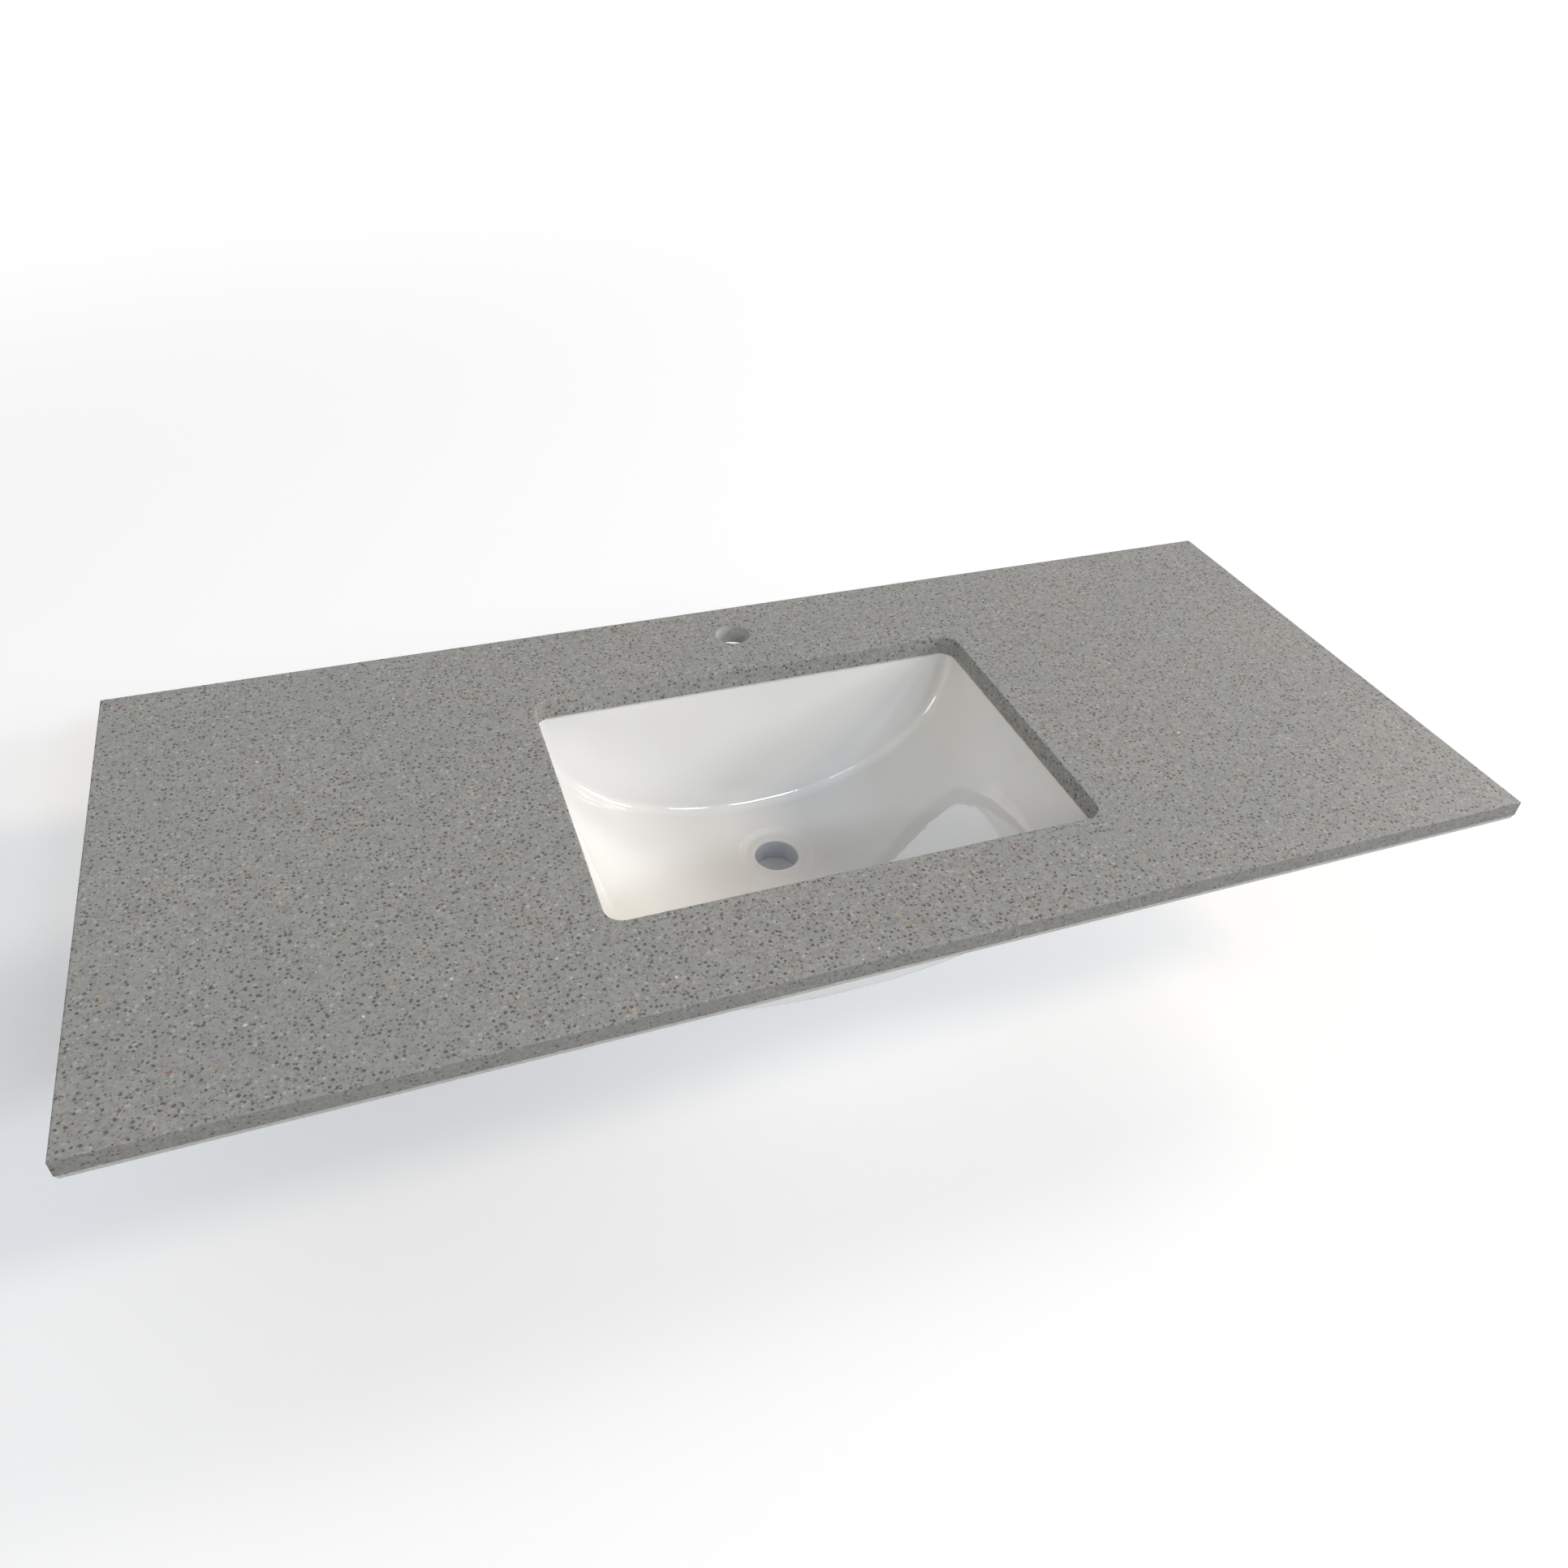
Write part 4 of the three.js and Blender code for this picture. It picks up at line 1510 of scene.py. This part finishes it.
@dataclass
class FixingSet:
    """One anchor, stud, clip, washer and wing nut, on the axis of the stud."""

    finishes: Finishes
    name: str
    x: float
    y: float
    turn: float
    anchor_radius: float = 0.005
    anchor_length: float = 0.012
    anchor_groove: float = 0.0008
    knurl_depth: float = 0.00025
    knurl_teeth: int = 32
    stud_radius: float = 0.003
    stud_top: float = 0.011
    stud_bottom: float = -0.039
    stud_point: float = 0.0008
    thread_pitch: float = 0.001
    thread_depth: float = 0.00058
    bore: float = 0.0033
    washer_radius: float = 0.008
    washer_z: Pair = (-0.0209, -0.0193)
    web_z: Pair = (-0.019, -0.0165)
    clip_half_width: float = 0.009
    clip_sheet: float = 0.0025
    clip_bend: float = 0.002
    clip_heel: float = -0.013
    clip_toe: float = 0.029
    clip_nose: float = 0.007
    slot_play: float = 0.004
    seat_gap: float = 0.0003
    sheet_edge: float = 0.0004
    hub: Triple = (0.006, 0.005, 0.0009)
    nut_z: Pair = (-0.0282, -0.0212)
    wing_end: Pair = (0.0103, -0.0287)
    wing_round: float = 0.0042
    wing_half_sheet: float = 0.0011
    wing_root: float = 0.0036
    wing_crown: tuple[Pair, ...] = ((0.3, 1.0), (0.75, 0.97), (1.0, 0.88))
    wing_steps: int = 20
    cast_grain: float = 0.00026
    hub_sides: int = 48
    washer_sides: int = 64
    stud_sides: int = 24
    rows_in_pitch: int = 8
    thread_root: float = 0.12
    thread_slope: float = 0.74
    bend_steps: int = 8
    nose_steps: int = 10
    slot_steps: int = 16
    section_steps: int = 3
    heel_stations: Pair = (0.004, 0.008)
    web_stations: tuple[float, ...] = (0.2, 0.4, 0.6, 0.8, 1.0)
    anchor_crease: float = 40.0
    stud_crease: float = 50.0
    sheet_crease: float = 30.0
    cast_crease: float = 60.0
    softening: tuple[float, int] = (0.5, 6)

    @property
    def axis(self) -> dict[str, float]:
        """Where the stud stands, as inputs of a turned piece's tree."""
        return {"Axis X": self.x, "Axis Y": self.y}

    def finished(
        self, shape: ShapeTree, solid: Socket, kind: str, slot: Slot, crease: float
    ) -> Thing:
        """Ends a turned piece's tree and shades it."""
        piece = shape.mesh(solid, self.finishes[slot], f"{kind}_{self.name}")
        smooth(piece, crease)
        return piece

    def placed(self, piece: Thing) -> Thing:
        """Moves a piece's mesh to the stud's axis and turns it about it."""
        move = Matrix.Translation((self.x, self.y, 0.0))
        piece.data.transform(move @ Matrix.Rotation(self.turn, 4, "Z"))
        return piece

    def anchor(self) -> None:
        """Makes the knurled brass insert that sits in the stone's blind hole."""
        shape = ShapeTree("anchor", self.axis | named(self, "Knurl depth"))
        length, groove, edge = self.anchor_length, self.anchor_groove, self.anchor_radius
        low, inner = edge - groove, self.bore
        third = length / 3
        chamfer, mouth = 0.0003, 0.0004
        profile = [
            (inner, length),
            (low, length),
            (edge, length - groove),
            (edge, 2 * third),
            (low, 2 * third - groove),
            (low, third + groove),
            (edge, third),
            (edge, chamfer),
            (edge - chamfer, 0.0),
            (inner + mouth, 0.0),
            (inner, mouth),
            (inner, length),
        ]
        knurled = [1.0 if point[0] == edge else 0.0 for point in profile]

        def ripple(angle: Num, count: Num) -> Num:
            """The knurl's dents, on the two lands alone."""
            tooth = (angle * float(self.knurl_teeth)).cosine() * 0.5 - 0.5
            return tooth * shape.size("Knurl depth") * along(count, knurled)

        axis = shape.size("Axis X"), shape.size("Axis Y")
        solid = shape.turned(profile, self.knurl_teeth * 2, *axis, ripple)
        piece = self.finished(shape, solid, "knurled_anchor", Slot.BRASS, self.anchor_crease)
        report(piece, "root", Slot.BRASS, f"anchor_{self.name}")

    def stud(self) -> None:
        """Makes the stud with its thread cut along a helix."""
        shape = ShapeTree("stud", self.axis | named(self, "Thread pitch", "Thread depth"))
        length = self.stud_top - self.stud_bottom
        rows = int(round(length / self.thread_pitch * self.rows_in_pitch))

        def place(i: Num, j: Num) -> Point:
            """A point of the thread, drawn in to the axis at both ends."""
            turned_share = i * (1.0 / self.stud_sides)
            share = ((j - 1.0) / float(rows)).within(0.0, 1.0)
            z = self.stud_top - share * length
            phase = (z / shape.size("Thread pitch") - turned_share).remainder(1.0)
            ridge = 1.0 - (phase * 2.0 - 1.0).size()
            slope = ((ridge - self.thread_root) / self.thread_slope).within(0.0, 1.0)
            depth = slope * shape.size("Thread depth")
            point = self.stud_radius - self.stud_point
            radius = (self.stud_radius - depth).at_most(self.stud_top - z + point)
            radius = radius.at_most(z - self.stud_bottom + point)
            ended = (j - (rows / 2 + 1.0)).size().over(rows / 2 + 0.5)
            radius = radius * (1.0 - ended)
            angle = turned_share * TURN
            x = angle.cosine() * radius + shape.size("Axis X")
            y = angle.sine() * radius + shape.size("Axis Y")
            return x, y, z

        solid = shape.turned_over(shape.welded(shape.grid(self.stud_sides, rows + 2, place)))
        piece = self.finished(shape, solid, "threaded_stud", Slot.ZINC, self.stud_crease)
        report(piece, "root", Slot.ZINC, f"stud_{self.name}")

    def washer(self) -> None:
        """Makes the washer, its upper edge rounded by the press."""
        shape = ShapeTree("washer", self.axis)
        low, high = self.washer_z
        edge, inner = self.washer_radius, self.bore
        burr, sheared, soft, corner = 0.0002, 0.0001, 0.0005, 0.00015
        profile = [
            (inner, high - burr),
            (inner + burr, high),
            (edge - soft, high),
            (edge - corner, high - corner),
            (edge, high - soft),
            (edge, low + sheared),
            (edge - sheared, low),
            (inner + sheared, low),
            (inner, low + sheared),
            (inner, high - burr),
        ]
        axis = shape.size("Axis X"), shape.size("Axis Y")
        solid = shape.turned(profile, self.washer_sides, *axis)
        piece = self.finished(shape, solid, "pressed_washer", Slot.ZINC, self.sheet_crease)
        report(piece, f"clamp_{self.name}", Slot.ZINC, f"washer_{self.name}")

    def clip_path(self) -> list[tuple[Pair, Pair, float]]:
        """The middle of the clip's sheet: place, way and half width, from heel to toe."""
        half, bend = self.clip_sheet / 2, self.clip_bend + self.clip_sheet / 2
        under = self.web_z[0]
        centre = (
            self.clip_heel + self.clip_sheet + self.clip_bend,
            under + self.clip_sheet + self.clip_bend,
        )
        full = self.clip_half_width
        stations = [
            ((self.clip_heel + half, -self.seat_gap - down), (0.0, -1.0), full)
            for down in (0.0, self.sheet_edge, *self.heel_stations)
        ]
        for x, z in arc(centre, (bend, bend), 2, 3, self.bend_steps):
            way = ((centre[1] - z) / bend, (x - centre[0]) / bend)
            stations.append(((x, z), way, full))
        nose = self.clip_toe - self.clip_nose
        flat = (1.0, 0.0)
        for share in self.web_stations:
            x = centre[0] + (nose - centre[0]) * share
            stations.append(((x, under + half), flat, full))
        rounding = (self.clip_nose - self.sheet_edge, self.clip_nose)
        for x, width in arc((nose, full - self.clip_nose), rounding, 1, 0, self.nose_steps)[1:]:
            stations.append(((x, under + half), flat, width))
        return [*stations, ((self.clip_toe, under + half), flat, full - self.clip_nose)]

    def sheet_section(self, half_width: float, half_sheet: float) -> list[Pair]:
        """The section of a sheet with rounded edges."""
        edge = min(self.sheet_edge, half_sheet * 0.9)
        return rectangle((half_width, half_sheet), edge, self.section_steps)

    def slot_tool(self) -> Thing:
        """The solid that cuts the clip's slot."""
        play, hole = self.slot_play, (self.bore, self.bore)
        outline = [
            *arc((play, 0.0), hole, -1, 1, self.slot_steps),
            *arc((-play, 0.0), hole, 1, 3, self.slot_steps),
        ]
        mesh = bmesh.new()
        levels = (self.web_z[0] - self.clip_bend, self.web_z[1] + self.clip_bend)
        lofted(mesh, [[(x, y, z) for x, y in outline] for z in levels], closed=False)
        return mesh_object("slot_tool", mesh)

    def clip(self) -> None:
        """Makes the pressed clip: a bent sheet with a rounded toe and a slot."""
        rings = []
        stations = self.clip_path()
        for count, (place, way, half_width) in enumerate(stations):
            ended = count in (0, len(stations) - 1)
            shrink = self.sheet_edge if ended else 0.0
            across = (-way[1], way[0])
            section = self.sheet_section(half_width - shrink, self.clip_sheet / 2 - shrink)
            rings.append(
                [(place[0] + across[0] * b, a, place[1] + across[1] * b) for a, b in section]
            )
        mesh = bmesh.new()
        lofted(mesh, rings, closed=False)
        piece = mesh_object(f"pressed_clip_{self.name}", mesh)
        tool = self.slot_tool()
        cut = piece.modifiers.new("slot", "BOOLEAN")
        cut.object, cut.operation, cut.solver = tool, "DIFFERENCE", Solver.EXACT.value
        with_modifiers(piece)
        bpy.data.objects.remove(tool)
        dress(piece, self.finishes[Slot.CLIP])
        smooth(piece, self.sheet_crease)
        weighted(self.placed(piece))
        report(piece, f"clip_{self.name}", Slot.CLIP, f"clip_{self.name}")

    def wing_outline(self) -> list[Pair]:
        """The side view of a wing, from its root round its tip."""
        low, high = self.nut_z
        return [
            (self.wing_root, low + self.wing_half_sheet),
            *arc(self.wing_end, (self.wing_round, self.wing_round), -1, 1, self.wing_steps),
            (self.wing_root, high - self.wing_half_sheet),
        ]

    def wing_rings(self, side: int) -> list[list[Triple]]:
        """The rings of one wing, across its sheet."""
        outline = self.wing_outline()
        middle_x, middle_z = (sum(values) / len(outline) for values in zip(*outline))
        near = [(-across, kept) for across, kept in reversed(self.wing_crown)]
        return [
            [
                (
                    side * (middle_x + (x - middle_x) * kept),
                    across * self.wing_half_sheet,
                    middle_z + (z - middle_z) * kept,
                )
                for x, z in outline
            ]
            for across, kept in (*near, *self.wing_crown)
        ]

    def wing_nut(self) -> None:
        """Makes the cast wing nut: a tapered hub and two wings, softened as one casting."""
        wide, narrow, ease = self.hub
        low, high = self.nut_z
        profile = [
            (self.bore, high),
            (wide - ease, high),
            (wide, high - ease),
            (narrow, low + ease),
            (narrow - ease, low),
            (self.bore, low),
        ]
        mesh = bmesh.new()
        ways = arc((0.0, 0.0), (1.0, 1.0), 0, 4, self.hub_sides)[:-1]
        rings = [[(r * way_x, r * way_y, z) for r, z in profile] for way_x, way_y in ways]
        lofted(mesh, rings, closed=True)
        for side in (1, -1):
            lofted(mesh, self.wing_rings(side), closed=False)
        piece = mesh_object(f"cast_wing_nut_{self.name}", mesh)
        remesh = piece.modifiers.new("casting", "REMESH")
        remesh.mode, remesh.voxel_size = "VOXEL", self.cast_grain
        soft = piece.modifiers.new("softened", "SMOOTH")
        soft.factor, soft.iterations = self.softening
        with_modifiers(piece)
        dress(piece, self.finishes[Slot.ZINC])
        smooth(self.placed(piece), self.cast_crease)
        report(piece, f"nut_{self.name}", Slot.ZINC, f"wing_nut_{self.name}")

    def build(self) -> None:
        """Makes the whole set."""
        self.anchor()
        self.stud()
        self.clip()
        self.washer()
        self.wing_nut()


@dataclass
class Fixings:
    """The four sets that press the bowl's flange up against the stone."""

    finishes: Finishes

    def build(self) -> None:
        """Makes the sets, each turned so that its clip reaches towards the bowl."""
        for name, (x, y) in STUD_AXES.items():
            FixingSet(self.finishes, name, x, y, math.copysign(QUARTER, BOWL_Y - y)).build()


# Studio


@dataclass(frozen=True)
class Lamp:
    """A soft rectangular lamp, by where it stands as seen from the bowl."""

    name: str
    azimuth: float
    elevation: float
    size: Pair
    level: float
    tint: Triple = WHITE
    distance: float = 10.0

    def build(self, aim: Vector) -> None:
        """Makes the lamp, which lights a white surface that faces it to its level.

        Args:
            aim: What it points at.
        """
        turn, rise = math.radians(self.azimuth), math.radians(self.elevation)
        flat = math.cos(rise)
        way = Vector((math.sin(turn) * flat, math.cos(turn) * flat, math.sin(rise)))
        data = bpy.data.lights.new(self.name, "AREA")
        data.shape = "RECTANGLE"
        data.size, data.size_y = self.size
        data.energy = self.level * (math.pi * self.distance) ** 2
        data.color = self.tint
        lamp = linked(bpy.data.objects.new(self.name, data))
        facing = (-way).to_track_quat("-Z", "Y").to_matrix().to_4x4()
        lamp.matrix_world = Matrix.Translation(aim + way * self.distance) @ facing
        lamp.visible_camera = False


WARM: Triple = (1.0, 0.86, 0.70)
COOL: Triple = (0.74, 0.86, 1.0)


@dataclass
class Studio:
    """The floor, the lamps and the camera."""

    camera_at: Triple = (-0.3466, -1.0701, 0.695)
    heading: float = 21.9545
    pitch: float = 38.8343
    roll: float = 3.215
    lens: float = 27.93
    sensor: float = 36.0
    sight: float = 60.0
    floor_z: float = -0.1765
    floor_reach: float = 14.0
    floor_colour: float = 0.84
    floor_glow: float = 0.26
    floor_far: Pair = (1.0, 2.6)
    # Radii of the painted shade under the waste hole, where the floor has no glow
    drain_shade_radii: Pair = (0.024, 0.03)
    sky: Triple = (0.255, 0.262, 0.276)
    aim: Triple = (0.0, -0.26, -0.05)
    lamps: tuple[Lamp, ...] = (
        Lamp("key", 108.0, 36.0, (1.75, 1.75), 0.31, WARM),
        Lamp("low_key", 120.0, 20.0, (1.75, 1.75), 0.28, (0.93, 0.95, 1.0)),
        Lamp("front_left_strip", 177.0, 33.0, (0.8, 0.15), 0.018, COOL),
        Lamp("front_strip", 163.0, 34.0, (1.33, 0.42), 0.15, COOL),
        Lamp("front_right_strip", 149.0, 34.0, (1.17, 0.37), 0.10, COOL),
        Lamp("back_window", 340.0, 38.0, (8.7, 3.8), 0.11, (0.80, 0.91, 1.0)),
        Lamp("right_window", 72.0, 24.0, (2.0, 2.0), 0.37, (1.0, 0.96, 0.9)),
        Lamp("left_fill", 240.0, 20.0, (2.7, 2.7), 0.15, (1.0, 0.96, 0.86)),
    )

    def camera(self) -> None:
        """Makes the camera that the photograph's view was taken with."""
        data = bpy.data.cameras.new("camera")
        data.lens = self.lens
        data.sensor_width = self.sensor
        data.clip_end = self.sight
        camera = linked(bpy.data.objects.new("camera", data))
        turn = (
            Matrix.Rotation(math.radians(-self.heading), 4, "Z")
            @ Matrix.Rotation(math.radians(90.0 - self.pitch), 4, "X")
            @ Matrix.Rotation(math.radians(self.roll), 4, "Z")
        )
        camera.matrix_world = Matrix.Translation(self.camera_at) @ turn
        bpy.context.scene.camera = camera

    def floor(self) -> None:
        """Makes the plain pale floor, which shows white to the camera and keeps the shadow.

        Far from the object it only shows white; under the waste hole it has no glow, as painted
        shade.
        """
        mesh = bmesh.new()
        bmesh.ops.create_grid(mesh, x_segments=1, y_segments=1, size=self.floor_reach)
        bmesh.ops.translate(mesh, verts=mesh.verts, vec=(0.0, 0.0, self.floor_z))
        floor = mesh_object("floor", mesh)
        paint = Paint("floor")
        x, y, _ = paint.parts(paint.place)
        far = away(x, y).rising(*self.floor_far)
        # Painted shade: no glow under the waste hole, so the floor seen through the bore stays
        # dark
        outside_drain_shade = away(x, y - WASTE_Y).rising(*self.drain_shade_radii)
        glow = far * (1.0 - self.floor_glow) + self.floor_glow
        path = paint.tree.nodes.new("ShaderNodeLightPath")
        paint.set(Base_Color=paint.mix(far, (self.floor_colour,) * 3, BLACK))
        paint.set(Roughness=0.9, Specular_IOR_Level=0.0, Emission_Color=(*WHITE, 1.0))
        paint.set(Emission_Strength=self.seen(paint.tree, path) * glow * outside_drain_shade)
        dress(floor, paint.material)

    def seen(self, tree: Tree, path: Node) -> Num:
        """One for the rays that show the background, straight or by a reflection."""
        camera, glossy, through = (
            Num(tree, path.outputs[name])
            for name in ("Is Camera Ray", "Is Glossy Ray", "Is Transmission Ray")
        )
        return camera.at_least(glossy).at_least(through)

    def world(self) -> None:
        """Makes the even light from all round, seen as white."""
        world = bpy.data.worlds.new("studio")
        bpy.context.scene.world = world
        world.use_nodes = True
        tree = world.node_tree
        back = tree.nodes["Background"]
        seen = self.seen(tree, tree.nodes.new("ShaderNodeLightPath"))
        mix = tree.nodes.new("ShaderNodeMix")
        mix.data_type = "RGBA"
        feed(tree, mix.inputs["Factor"], seen)
        dim, white = (socket for socket in mix.inputs if socket.type == "RGBA")
        dim.default_value = (*self.sky, 1.0)
        white.default_value = (*WHITE, 1.0)
        result = next(socket for socket in mix.outputs if socket.type == "RGBA")
        feed(tree, back.inputs["Color"], result)

    def build(self) -> None:
        """Makes the whole studio."""
        self.camera()
        self.floor()
        self.world()
        for lamp in self.lamps:
            lamp.build(Vector(self.aim))
        bpy.context.scene.view_settings.view_transform = "Standard"


def main() -> None:
    """Builds the studio and every piece, and logs each piece's faces."""
    logging.basicConfig(level=logging.INFO, format="%(name)s %(message)s")
    Studio().build()
    finishes = Finishes()
    StoneTop(finishes).build()
    Bowl(finishes).build()
    Bead(finishes).build()
    Fixings(finishes).build()


if __name__ == "__main__":
    main()
